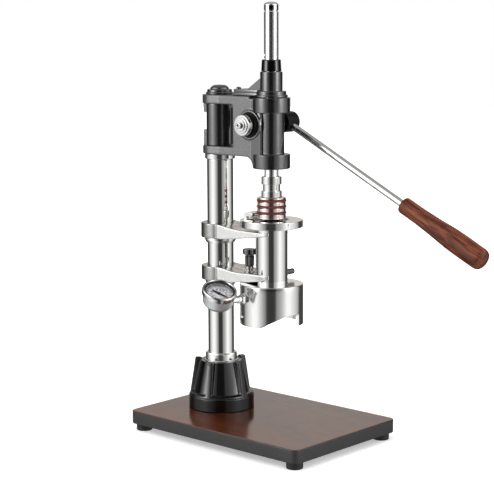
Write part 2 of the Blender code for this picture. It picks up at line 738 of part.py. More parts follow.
def make_column():
    """The tube, the plug with the spigot that the head turns on, the sleeve, the collar and the cap."""
    at_column = (0.0, COLUMN_Y, 0.0)
    bore = COLUMN_RADIUS - COLUMN_WALL
    low = BOARD_TOP + FOOT_SOCKET_FLOOR + GAP
    top = BOARD_TOP + COLUMN_TOP_RISE
    tube = ring("column_tube", COLUMN_RADIUS, bore, low, top, MEDIUM)
    keep(settle(tube, at_column), "polished_steel")

    spigot_top = BOARD_TOP + SLEEVE_TOP_RISE - GAP
    shoulder = top + GAP + HEAD_COLLAR_HEIGHT / 2
    profile = [
        (0.0, spigot_top),
        (SPIGOT_RADIUS, spigot_top),
        (SPIGOT_RADIUS, shoulder),
        (COLUMN_RADIUS - COLUMN_WALL / 2, shoulder),
        (COLUMN_RADIUS - COLUMN_WALL / 2, top + GAP),
        (bore - GAP, top + GAP),
        (bore - GAP, top - SPIGOT_PLUG_LENGTH),
        (0.0, top - SPIGOT_PLUG_LENGTH),
    ]
    spigot = settle(turned("column_spigot", profile, MEDIUM), at_column)
    stud = bar("stud_hole", CAP_STUD_RADIUS + GAP, spigot_top - CAP_STUD_LENGTH - GAP, spigot_top + OVERRUN, COARSE)
    cut(spigot, settle(stud, at_column))
    rod_end = top - SPIGOT_PLUG_LENGTH
    bite = bar("tie_rod_hole", TIE_ROD_RADIUS + GAP, rod_end - OVERRUN, rod_end + TIE_ROD_BITE + GAP, COARSE)
    cut(spigot, settle(bite, at_column))
    keep(spigot, "dark_steel")

    collar_top = top + HEAD_COLLAR_HEIGHT
    collar = [
        (HEAD_COLLAR_RADIUS, collar_top),
        (HEAD_COLLAR_RADIUS, top + COUPLER_EDGE),
        (HEAD_COLLAR_RADIUS - COUPLER_EDGE, top - COUPLER_EDGE),
        (COLUMN_RADIUS + GAP, top - COUPLER_EDGE),
        (COLUMN_RADIUS + GAP, shoulder + GAP),
        (SPIGOT_RADIUS + GAP, shoulder + GAP),
        (SPIGOT_RADIUS + GAP, collar_top),
    ]
    head_collar = turned("head_collar", collar, MEDIUM, closed=True)
    keep(settle(head_collar, at_column), "polished_steel")

    sleeve = ring("column_sleeve", SLEEVE_RADIUS, SPIGOT_RADIUS + GAP, collar_top + GAP, spigot_top, MEDIUM)
    keep(settle(sleeve, at_column), "satin_black")

    seat = spigot_top + GAP
    flange_top = seat + CAP_FLANGE_HEIGHT
    dome = arc((0.0, flange_top), 1.0, math.pi / 2, 0.0, 3)
    dome = [(CAP_DOME_RADIUS * (x), flange_top + CAP_DOME_HEIGHT * (y - flange_top)) for x, y in dome]
    cap = turned(
        "column_cap",
        dome
        + [
            (CAP_FLANGE_RADIUS - BOARD_EDGE, flange_top),
            (CAP_FLANGE_RADIUS, flange_top - BOARD_EDGE),
            (CAP_FLANGE_RADIUS, seat),
            (CAP_STUD_RADIUS, seat),
            (CAP_STUD_RADIUS, spigot_top - CAP_STUD_LENGTH),
            (0.0, spigot_top - CAP_STUD_LENGTH),
        ],
        MEDIUM,
    )
    keep(settle(cap, at_column), "satin_black")


def make_tie_rod():
    """The long rod with its hexagon head that draws column and foot down on the board."""
    washer_low = BOARD_BOTTOM - GAP - TIE_WASHER_THICKNESS
    head_top = washer_low - GAP
    rod_top = BOARD_TOP + COLUMN_TOP_RISE - SPIGOT_PLUG_LENGTH + TIE_ROD_BITE
    rod = bar("tie_rod", TIE_ROD_RADIUS, head_top - TIE_HEAD_HEIGHT / 2, rod_top, COARSE)
    head = plate("tie_head", polygon(TIE_HEAD_RADIUS, 6), head_top - TIE_HEAD_HEIGHT, head_top)
    settle(rod, (0.0, COLUMN_Y, 0.0))
    join(rod, settle(head, (0.0, COLUMN_Y, 0.0)))
    keep(rod, "dark_steel")
    washer = ring(
        "tie_washer", TIE_WASHER_RADIUS, TIE_ROD_RADIUS + GAP, washer_low, BOARD_BOTTOM - GAP, MEDIUM
    )
    keep(settle(washer, (0.0, COLUMN_Y, 0.0)), "dark_steel")


def arm_plan(name, low, high):
    """The arm seen from above: a ring round the column whose flanks run on to hug the cylinder."""
    hug = CYLINDER_RADIUS + ARM_WALL
    back = math.atan2(-ARM_FLANK_START, ARM_FLANK)
    ring_arc = arc((0.0, 0.0), ARM_RING_RADIUS, back, math.pi - back, 18)
    lean = math.asin(ARM_TIP_REACH / hug)
    left = arc((0.0, -RAM_REACH), hug, math.pi, math.pi + lean, 4)
    right = [(-x, y) for x, y in reversed(left)]
    return plate(name, ring_arc + left + right, low, high)


def make_arm(name, top_line, bottom_line):
    """One arm: its plan cut to its side view, bored for the column and the cylinder, and slit to clamp."""
    at_column = (0.0, COLUMN_Y, 0.0)
    low, high = BOARD_TOP + bottom_line[0][1], BOARD_TOP + top_line[0][1]
    arm = settle(arm_plan(name, low, high), at_column)

    end = ARM_LENGTH + OVERRUN
    wide = ARM_RING_RADIUS + OVERRUN
    for side, line, level in (("under", bottom_line, low - OVERRUN), ("over", top_line, high + OVERRUN)):
        edge = [(-ARM_LENGTH * share, BOARD_TOP + rise) for share, rise in line[1:]]
        start = (edge[0][0], level)
        outline = [start] + edge + [(-end, edge[-1][1]), (-end, level)]
        cut(arm, settle(plate(f"{name}_{side}_cut", outline, -wide, wide), at_column, SIDE_ON))

    bore = bar(name + "_bore", COLUMN_RADIUS + GAP, low - OVERRUN, high + OVERRUN, MEDIUM)
    cut(arm, settle(bore, at_column))
    hug = bar(name + "_hug", CYLINDER_RADIUS + GAP, low - OVERRUN, high + OVERRUN, FINE)
    cut(arm, settle(hug, (0.0, RAM_Y, 0.0)))
    slit = block(
        name + "_slit",
        (0.0, -SLIT_FORWARD - SLIT_WIDTH, low - OVERRUN),
        (ARM_RING_RADIUS + OVERRUN, -SLIT_FORWARD, high + OVERRUN),
    )
    cut(arm, settle(slit, at_column))
    middle = (low + high) / 2
    start = CLAMP_SCREW_LENGTH / 2 - SLIT_FORWARD
    side = (CLAMP_SCREW_OFFSET, COLUMN_Y + start, middle)
    shank = -CLAMP_SCREW_LENGTH
    hole = [
        (0.0, ARM_RING_RADIUS),
        (CLAMP_SCREW_HEAD_RADIUS + GAP, ARM_RING_RADIUS),
        (CLAMP_SCREW_HEAD_RADIUS + GAP, -GAP),
        (CLAMP_SCREW_RADIUS + GAP, -GAP),
        (CLAMP_SCREW_RADIUS + GAP, shank - GAP),
        (0.0, shank - GAP),
    ]
    cut(arm, settle(turned(name + "_screw_hole", hole, COARSE), side, ALONG_Y))
    screw = turned(
        name.replace("arm", "arm_clamp_screw"),
        [
            (0.0, CLAMP_SCREW_HEAD),
            (CLAMP_SCREW_HEAD_RADIUS, CLAMP_SCREW_HEAD),
            (CLAMP_SCREW_HEAD_RADIUS, 0.0),
            (CLAMP_SCREW_RADIUS, 0.0),
            (CLAMP_SCREW_RADIUS, shank),
            (0.0, shank),
        ],
        COARSE,
    )
    keep(settle(screw, side, ALONG_Y), "dark_steel")
    keep(arm, "cast_steel")
    return arm


def make_stop_collar(name, top_rise):
    """A tapered ring on the column under an arm."""
    high = BOARD_TOP + top_rise - GAP
    low = high - STOP_COLLAR_HEIGHT
    inner = COLUMN_RADIUS + GAP
    profile = [(STOP_COLLAR_RADIUS, high), (STOP_COLLAR_RADIUS, (low + high) / 2)]
    profile += [(STOP_COLLAR_FOOT_RADIUS, low), (inner, low), (inner, high)]
    collar = turned(name, profile, MEDIUM, closed=True)
    keep(settle(collar, (0.0, COLUMN_Y, 0.0)), "polished_steel")


def make_arms():
    """Both arms, their collars, and the pin at the lower arm's far side."""
    lower = make_arm("lower_arm", LOWER_ARM_TOP_LINE, LOWER_ARM_BOTTOM_LINE)
    make_arm("upper_arm", UPPER_ARM_TOP_LINE, UPPER_ARM_BOTTOM_LINE)
    make_stop_collar("lower_stop_collar", LOWER_ARM_BOTTOM_LINE[0][1])
    make_stop_collar("upper_stop_collar", UPPER_ARM_BOTTOM_LINE[0][1])
    group_top = BOARD_TOP + GROUP_TOP_RISE
    recess = bar("group_recess", GROUP_RADIUS + GAP, group_top - OVERRUN, group_top + GAP, FINE)
    cut(lower, settle(recess, (0.0, RAM_Y, 0.0)))

    knob_place = (-KNOB_SIDE, RAM_Y + KNOB_BACK, 0.0)
    arm_top = BOARD_TOP + KNOB_SEAT_RISE
    screw_end = arm_top - KNOB_SCREW_LENGTH
    hole = [
        (0.0, arm_top + OVERRUN),
        (KNOB_SEAT_RADIUS, arm_top + OVERRUN),
        (KNOB_SEAT_RADIUS, arm_top),
        (KNOB_SCREW_RADIUS + GAP, arm_top),
        (KNOB_SCREW_RADIUS + GAP, screw_end - GAP),
        (0.0, screw_end - GAP),
    ]
    cut(lower, settle(turned("knob_hole", hole, COARSE), knob_place))

    pin_place = (0.0, RAM_Y + ARM_PIN_BACK, BOARD_TOP + ARM_PIN_RISE)
    seat = CYLINDER_RADIUS + ARM_WALL
    seat_face = bar("pin_seat", ARM_PIN_RADIUS + GAP, seat - ARM_PIN_BITE, seat + OVERRUN, COARSE)
    cut(lower, settle(seat_face, pin_place, ALONG_X))
    pin = disc("arm_pin", ARM_PIN_RADIUS, seat - ARM_PIN_BITE + GAP, ARM_PIN_END, COARSE, ARM_EDGE)
    keep(settle(pin, pin_place, ALONG_X), "dark_steel")


def make_knob():
    """The fluted knob with its steel ferrule and screw, which turns on its own axis."""
    base = BOARD_TOP + KNOB_SEAT_RISE + GAP
    axis = empty("knob_axis", (-KNOB_SIDE, RAM_Y + KNOB_BACK, base))
    body_low = KNOB_FERRULE_HEIGHT
    lip_low = body_low + KNOB_BODY_HEIGHT
    lip_high = lip_low + KNOB_LIP_HEIGHT
    stem = turned(
        "knob_screw",
        [
            (0.0, KNOB_FERRULE_HEIGHT + KNOB_BODY_HEIGHT / 2),
            (KNOB_SCREW_RADIUS, KNOB_FERRULE_HEIGHT + KNOB_BODY_HEIGHT / 2),
            (KNOB_SCREW_RADIUS, KNOB_FERRULE_HEIGHT),
            (KNOB_FERRULE_RADIUS, KNOB_FERRULE_HEIGHT),
            (KNOB_FERRULE_RADIUS, KNOB_FERRULE_HEIGHT / 2),
            (KNOB_FERRULE_FOOT_RADIUS, 0.0),
            (KNOB_SCREW_RADIUS, 0.0),
            (KNOB_SCREW_RADIUS, -KNOB_SCREW_LENGTH),
            (0.0, -KNOB_SCREW_LENGTH),
        ],
        COARSE,
    )
    keep(settle(stem, parent=axis), "polished_steel")
    knob = turned(
        "knob_grip",
        [
            (0.0, lip_high),
            (KNOB_LIP_RADIUS - ARM_EDGE, lip_high),
            (KNOB_LIP_RADIUS, lip_high - ARM_EDGE),
            (KNOB_LIP_RADIUS, lip_low + ARM_EDGE),
            (KNOB_LIP_RADIUS - ARM_EDGE, lip_low),
            (KNOB_BODY_RADIUS, lip_low),
            (KNOB_BODY_RADIUS, body_low + GAP),
            (KNOB_SCREW_RADIUS + GAP, body_low + GAP),
            (KNOB_SCREW_RADIUS + GAP, KNOB_FERRULE_HEIGHT + KNOB_BODY_HEIGHT / 2 + GAP),
            (0.0, KNOB_FERRULE_HEIGHT + KNOB_BODY_HEIGHT / 2 + GAP),
        ],
        MEDIUM,
    )
    settle(knob, parent=axis)
    for number in range(KNOB_FLUTES):
        x, y = polygon(KNOB_BODY_RADIUS + KNOB_FLUTE_RADIUS / 2, KNOB_FLUTES)[number]
        flute = bar(f"knob_flute_{number}", KNOB_FLUTE_RADIUS, body_low, lip_low, 8)
        cut(knob, settle(flute, (x, y, 0.0), parent=axis))
    keep(knob, "black_plastic")


def make_cylinder():
    """The polished brew cylinder and the flange round its mouth."""
    at_ram = (0.0, RAM_Y, 0.0)
    tube = ring(
        "brew_cylinder",
        CYLINDER_RADIUS,
        CYLINDER_BORE_RADIUS,
        BOARD_TOP + CYLINDER_FOOT_RISE,
        BOARD_TOP + CYLINDER_TOP_RISE,
        FINE,
    )
    keep(settle(tube, at_ram), "polished_steel")

    low, high = BOARD_TOP + FLANGE_RISE, BOARD_TOP + FLANGE_TOP_RISE
    seat = BOARD_TOP + CYLINDER_TOP_RISE + GAP
    bore = CYLINDER_BORE_RADIUS
    profile = [
        (FLANGE_RADIUS - FLANGE_EDGE, high),
        (FLANGE_RADIUS, high - FLANGE_EDGE),
        (FLANGE_RADIUS, low + FLANGE_EDGE),
        (FLANGE_RADIUS - FLANGE_EDGE, low),
        (FLANGE_STEP_RADIUS, low),
        (FLANGE_STEP_RADIUS, low - FLANGE_STEP_HEIGHT),
        (CYLINDER_RADIUS + GAP, low - FLANGE_STEP_HEIGHT),
        (CYLINDER_RADIUS + GAP, seat),
        (bore, seat),
        (bore, seat + MOUTH_LIP),
        (MOUTH_RADIUS, high),
    ]
    flange = settle(turned("cylinder_flange", profile, FINE, closed=True), at_ram)
    half = FLANGE_LUG_WIDTH / 2
    lug = block(
        "flange_lug",
        (-half, FLANGE_LUG_BACK, high - FLANGE_THICKNESS / 2),
        (half, FLANGE_LUG_BACK + FLANGE_LUG_LENGTH, high + FLANGE_LUG_HEIGHT),
    )
    join(flange, settle(rounded(lug, FLANGE_EDGE, 1), at_ram))
    slot_low = high + FLANGE_LUG_HEIGHT / 3
    slot = block(
        "flange_lug_slot",
        (-half - OVERRUN, FLANGE_LUG_BACK - OVERRUN, slot_low),
        (half - FLANGE_LUG_SLOT, FLANGE_LUG_BACK + FLANGE_LUG_SLOT, slot_low + FLANGE_LUG_SLOT / 2),
    )
    cut(flange, settle(slot, at_ram))
    keep(flange, "polished_steel")


def make_group():
    """The group head: a skirt with its bayonet notches, and the gasket, screen and screw inside it."""
    at_ram = (0.0, RAM_Y, 0.0)
    top = BOARD_TOP + GROUP_TOP_RISE
    floor = BOARD_TOP + GROUP_FLOOR_RISE
    low = top - GROUP_HEIGHT
    seat = BOARD_TOP + CYLINDER_FOOT_RISE - GAP
    profile = [
        (GROUP_RADIUS - GROUP_EDGE, top),
        (GROUP_RADIUS, top - GROUP_EDGE),
        (GROUP_RADIUS, low),
        (GROUP_BORE_RADIUS, low),
        (GROUP_BORE_RADIUS, floor),
        (SCREEN_SCREW_SHANK_RADIUS + GAP, floor),
        (SCREEN_SCREW_SHANK_RADIUS + GAP, seat),
        (CYLINDER_RADIUS + GAP, seat),
        (CYLINDER_RADIUS + GAP, top),
    ]
    group = settle(turned("group_head", profile, FINE, closed=True), at_ram)
    notch = [(NOTCH_START * share, low + NOTCH_HEIGHT * height) for share, height in NOTCH_RISE_SHARES]
    notch = [(-NOTCH_START, low - OVERRUN)] + notch
    notch += [(NOTCH_END, low + NOTCH_HEIGHT), (NOTCH_END, low - OVERRUN)]
    for number in range(2):
        cutter = plate(f"group_notch_{number}", notch, CYLINDER_RADIUS, GROUP_RADIUS + OVERRUN)
        heading = NOTCH_HEADING + math.pi * number
        cut(group, settle(cutter, at_ram, (math.pi / 2, 0.0, heading + math.pi / 2)))
    slot_low = BOARD_TOP + LUG_SLOT_RISE
    for number, heading in enumerate(LUG_SLOT_HEADINGS):
        slot = block(
            f"group_lug_slot_{number}",
            (GROUP_BORE_RADIUS - OVERRUN, -LUG_SLOT_WIDTH / 2, slot_low),
            (GROUP_RADIUS + OVERRUN, LUG_SLOT_WIDTH / 2, slot_low + LUG_SLOT_HEIGHT),
        )
        cut(group, settle(slot, at_ram, (0.0, 0.0, heading)))
    for number, (x, y) in enumerate(polygon(FEED_HOLE_RING, FEED_HOLE_COUNT)):
        hole = bar(f"feed_hole_{number}", FEED_HOLE_RADIUS, floor - OVERRUN, seat + OVERRUN, 8)
        cut(group, settle(hole, (x, RAM_Y + y, 0.0)))
    port = bar(
        "gauge_port",
        STEM_RADIUS + GAP,
        GROUP_BORE_RADIUS - OVERRUN,
        GROUP_RADIUS + OVERRUN,
        COARSE,
    )
    place = (0.0, RAM_Y, BOARD_TOP + STEM_RISE)
    cut(group, settle(port, place, (0.0, math.pi / 2, STEM_HEADING)))
    keep(group, "polished_steel")

    gasket = ring(
        "group_gasket",
        GASKET_OUTER_RADIUS,
        GASKET_INNER_RADIUS,
        floor - GAP - GASKET_THICKNESS,
        floor - GAP,
        MEDIUM,
    )
    cut(gasket, settle(bar("gasket_port", STEM_RADIUS + GAP, GASKET_INNER_RADIUS - OVERRUN,
                           GASKET_OUTER_RADIUS + OVERRUN, COARSE), place, (0.0, math.pi / 2, STEM_HEADING)))
    keep(settle(gasket, at_ram), "gasket_rubber")

    plate_top = floor - SCREEN_RIM
    screen = turned(
        "shower_screen",
        [
            (SCREEN_RADIUS, floor - GAP),
            (SCREEN_RADIUS, plate_top - SCREEN_THICKNESS),
            (SCREEN_SCREW_SHANK_RADIUS + GAP, plate_top - SCREEN_THICKNESS),
            (SCREEN_SCREW_SHANK_RADIUS + GAP, plate_top),
            (SCREEN_RADIUS - SCREEN_THICKNESS, plate_top),
            (SCREEN_RADIUS - SCREEN_THICKNESS, floor - GAP),
        ],
        MEDIUM,
        closed=True,
    )
    keep(settle(screen, at_ram), "cast_steel")
    head_top = plate_top - SCREEN_THICKNESS - GAP
    screw = turned(
        "screen_screw",
        [
            (0.0, seat + GAP),
            (SCREEN_SCREW_SHANK_RADIUS, seat + GAP),
            (SCREEN_SCREW_SHANK_RADIUS, head_top),
            (SCREEN_SCREW_RADIUS, head_top),
            (SCREEN_SCREW_RADIUS, head_top - SCREEN_SCREW_HEAD),
            (0.0, head_top - SCREEN_SCREW_HEAD),
        ],
        COARSE,
    )
    keep(settle(screw, at_ram), "dark_steel")


def make_gauge():
    """The pressure gauge on its stem: nut, stem, case, dial, needle, glass and bezel."""
    stem_turn = (0.0, math.pi / 2, STEM_HEADING)
    stem_place = (0.0, RAM_Y, BOARD_TOP + STEM_RISE)
    stem_end = GAUGE_DISTANCE - CASE_RADIUS + STEM_BITE
    stem_start = GROUP_BORE_RADIUS + ARM_WALL
    stem = disc("gauge_stem", STEM_RADIUS, stem_start, stem_end, COARSE)
    keep(settle(stem, stem_place, stem_turn), "polished_steel")
    nut_start = GROUP_RADIUS + GAP
    nut = plate("gauge_nut", polygon(STEM_NUT_FLATS / math.sqrt(3.0), 6), nut_start, nut_start + STEM_NUT_THICKNESS)
    settle(nut, stem_place, stem_turn)
    bore = bar("nut_bore", STEM_RADIUS + GAP, nut_start - OVERRUN, nut_start + STEM_NUT_THICKNESS + OVERRUN, COARSE)
    cut(nut, settle(bore, stem_place, stem_turn))
    keep(nut, "polished_steel")

    centre = Vector((math.cos(STEM_HEADING), math.sin(STEM_HEADING), 0.0)) * GAUGE_DISTANCE
    place = (centre.x, RAM_Y + centre.y, BOARD_TOP + GAUGE_RISE)
    axis = empty("gauge_axis", place, (GAUGE_ROLL, -GAUGE_LEAN, STEM_HEADING + math.pi))
    dial_low = CASE_FRONT - DIAL_DEPTH - DIAL_THICKNESS
    case = turned(
        "gauge_case",
        [
            (0.0, dial_low - GAP),
            (DIAL_RADIUS + GAP, dial_low - GAP),
            (DIAL_RADIUS + GAP, CASE_FRONT),
            (CASE_RADIUS, CASE_FRONT),
            (CASE_RADIUS, CASE_TAPER - CASE_BACK_DEPTH),
            (CASE_BACK_RADIUS, -CASE_BACK_DEPTH),
            (0.0, -CASE_BACK_DEPTH),
        ],
        FINE,
    )
    settle(case, parent=axis)
    socket = bar("gauge_socket", STEM_RADIUS + GAP, stem_start, stem_end + GAP, COARSE)
    cut(case, settle(socket, stem_place, stem_turn))
    keep(case, "polished_steel")
    dial = disc("gauge_dial", DIAL_RADIUS, dial_low, dial_low + DIAL_THICKNESS, MEDIUM)
    keep(settle(dial, parent=axis), "dial_card")

    glass_low = CASE_FRONT + GAP
    glass_top = glass_low + GLASS_THICKNESS
    glass = disc("gauge_glass", CASE_RADIUS, glass_low, glass_top, MEDIUM)
    keep(settle(glass, parent=axis), "gauge_glass")
    lip_low = glass_top + GAP
    bezel = turned(
        "gauge_bezel",
        [
            (BEZEL_RADIUS - BEZEL_LIP / 2, lip_low + BEZEL_LIP),
            (BEZEL_RADIUS, lip_low),
            (BEZEL_RADIUS, CASE_FRONT - BEZEL_SKIRT),
            (CASE_RADIUS + GAP, CASE_FRONT - BEZEL_SKIRT),
            (CASE_RADIUS + GAP, lip_low),
            (BEZEL_OPENING, lip_low),
            (BEZEL_OPENING + BEZEL_LIP / 2, lip_low + BEZEL_LIP),
        ],
        FINE,
        closed=True,
    )
    keep(settle(bezel, parent=axis), "polished_steel")

    needle_low = dial_low + DIAL_THICKNESS + GAP
    half = NEEDLE_WIDTH / 2
    outline = [(-NEEDLE_TAIL, half), (-NEEDLE_TAIL, -half), (0.0, -half), (NEEDLE_LENGTH, -half / 4)]
    outline += [(NEEDLE_LENGTH, half / 4), (0.0, half)]
    needle = plate("gauge_needle", outline, needle_low, needle_low + NEEDLE_THICKNESS)
    settle(needle, turn=(0.0, 0.0, NEEDLE_TURN), parent=axis)
    hub = bar("needle_hub", NEEDLE_HUB_RADIUS, needle_low, needle_low + NEEDLE_THICKNESS + NEEDLE_WIDTH, COARSE)
    join(needle, settle(hub, parent=axis))
    keep(needle, "needle_black")


def housing_profile():
    """The ram housing's turned outside: a ring at its foot, a narrower body and a ring at its top."""
    low = BOARD_TOP + HOUSING_BOTTOM_RISE
    high = BOARD_TOP + HOUSING_TOP_RISE
    ring_top = low + HOUSING_LOW_RING_HEIGHT
    ring_low = high - HOUSING_HIGH_RING_HEIGHT
    outer = HOUSING_RING_RADIUS
    edge = HOUSING_EDGE
    return [
        (0.0, high),
        (outer - edge / 2, high),
        (outer, high - edge / 2),
        (outer, ring_low),
        (HOUSING_RADIUS, ring_low),
        (HOUSING_RADIUS, ring_top),
        (outer - edge / 2, ring_top),
        (outer, ring_top - edge / 2),
        (outer, low + edge),
        (outer - edge, low),
        (0.0, low),
    ]


def web_outline():
    """Side view of the web: two knuckle arms round a window, and a throat down to the lower ring."""
    low = BOARD_TOP + KNUCKLE_RISE
    high = BOARD_TOP + KNUCKLE_TOP_RISE
    foot = BOARD_TOP + HOUSING_BOTTOM_RISE + HOUSING_EDGE
    window_low = low + KNUCKLE_LOW_HEIGHT
    window_high = high - KNUCKLE_HIGH_HEIGHT
    start = -RAM_REACH + THROAT_REACH
    throat = arc((start, foot), low - foot, math.pi / 2, math.pi, THROAT_STEPS)
    front = -RAM_REACH + WEB_FRONT_SETBACK
    housing_top = BOARD_TOP + HOUSING_TOP_RISE - HOUSING_EDGE
    tower_foot = -RAM_REACH + TOWER_STEP_RADII[0] + GAP
    corner = WINDOW_CORNER
    return (
        [(0.0, low)]
        + throat
        + [(front, foot), (front, housing_top), (tower_foot, housing_top), (start, high), (0.0, high)]
        + [(0.0, window_high), (-WINDOW_REACH + corner, window_high), (-WINDOW_REACH, window_high - corner)]
        + [(-WINDOW_REACH, window_low + corner), (-WINDOW_REACH + corner, window_low), (0.0, window_low)]
    )


def make_head_casting(pivot):
    """The casting: housing, web and knuckles joined, with bosses and ears, then bored."""
    at_ram = (0.0, -RAM_REACH, 0.0)
    low = BOARD_TOP + KNUCKLE_RISE
    high = BOARD_TOP + KNUCKLE_TOP_RISE
    window_low = low + KNUCKLE_LOW_HEIGHT
    window_high = high - KNUCKLE_HIGH_HEIGHT
    casting = plate("head_casting", web_outline(), -WEB_HALF, WEB_HALF)
    settle(casting, turn=SIDE_ON, parent=pivot)
    join(casting, settle(turned("housing", housing_profile(), FINE), at_ram, parent=pivot))
    join(casting, settle(disc("low_knuckle", KNUCKLE_RADIUS, low, window_low, FINE), parent=pivot))
    join(casting, settle(disc("high_knuckle", KNUCKLE_RADIUS, window_high, high, FINE), parent=pivot))
    ears = (("low_ear", low + BOARD_EDGE, window_low + EAR_LOW_HEIGHT),)
    ears += (("high_ear", window_high - EAR_HIGH_HEIGHT, high - BOARD_EDGE),)
    for name, ear_low, ear_high in ears:
        ear = block(name, (-EAR_HALF_WIDTH, SPIGOT_RADIUS, ear_low), (EAR_HALF_WIDTH, EAR_REACH, ear_high))
        join(casting, settle(ear, parent=pivot))

    at_pinion = (0.0, PINION_Y - COLUMN_Y, BOARD_TOP + PINION_RISE)
    boss = bar("near_boss", BOSS_RADIUS, WEB_HALF / 2, BOSS_FACE, FINE)
    join(casting, settle(boss, at_pinion, ALONG_MINUS_X, pivot))
    far_boss = bar("far_boss", FAR_BOSS_RADIUS, WEB_HALF / 2, FAR_BOSS_END, MEDIUM)
    join(casting, settle(far_boss, at_pinion, ALONG_X, pivot))

    bore = bar("sleeve_bore", SLEEVE_RADIUS + GAP, low - OVERRUN, high + OVERRUN, MEDIUM)
    cut(casting, settle(bore, parent=pivot))
    ram_bore = bar(
        "ram_bore",
        RAM_RADIUS + GAP,
        BOARD_TOP + HOUSING_BOTTOM_RISE - OVERRUN,
        BOARD_TOP + HOUSING_TOP_RISE + OVERRUN,
        MEDIUM,
    )
    cut(casting, settle(ram_bore, at_ram, parent=pivot))
    pinion_room = [
        (0.0, BOSS_FACE + OVERRUN),
        (COVER_STEP_RADIUS + GAP, BOSS_FACE + OVERRUN),
        (COVER_STEP_RADIUS + GAP, -PINION_FACE / 2 - GAP),
        (BUSH_RADIUS + GAP, -PINION_FACE / 2 - GAP),
        (BUSH_RADIUS + GAP, -FAR_BOSS_END - OVERRUN),
        (0.0, -FAR_BOSS_END - OVERRUN),
    ]
    room = turned("pinion_room", pinion_room, MEDIUM)
    cut(casting, settle(room, at_pinion, ALONG_MINUS_X, pivot))
    screw_hole = bar(
        "plate_screw_hole",
        PLATE_SCREW_SHANK_RADIUS + GAP,
        high - PLATE_SCREW_BITE - GAP,
        high + OVERRUN,
        COARSE,
    )
    cut(casting, settle(screw_hole, (0.0, -PLATE_SCREW_REACH, 0.0), parent=pivot))
    keep(casting, "satin_black")


def make_shaft_cover(pivot):
    """The stepped cover that closes the pinion's room, and the bush in the far boss."""
    at_pinion = (0.0, PINION_Y - COLUMN_Y, BOARD_TOP + PINION_RISE)
    face = BOSS_FACE + COVER_PROUD
    cover = turned(
        "pinion_cover",
        [
            (COVER_FACE_RADIUS, COVER_FACE_X),
            (COVER_FACE_RADIUS, face),
            (COVER_STEP_RADIUS, face),
            (COVER_STEP_RADIUS, face - COVER_PROUD - COVER_DEPTH),
            (SHAFT_RADIUS + GAP, face - COVER_PROUD - COVER_DEPTH),
            (SHAFT_RADIUS + GAP, COVER_FACE_X),
        ],
        MEDIUM,
        closed=True,
    )
    keep(settle(cover, at_pinion, ALONG_MINUS_X, pivot), "satin_black")
    bush = ring("shaft_bush", BUSH_RADIUS, SHAFT_RADIUS + GAP, PINION_FACE / 2 + GAP, FAR_BOSS_END, MEDIUM)
    keep(settle(bush, at_pinion, ALONG_X, pivot), "bronze")


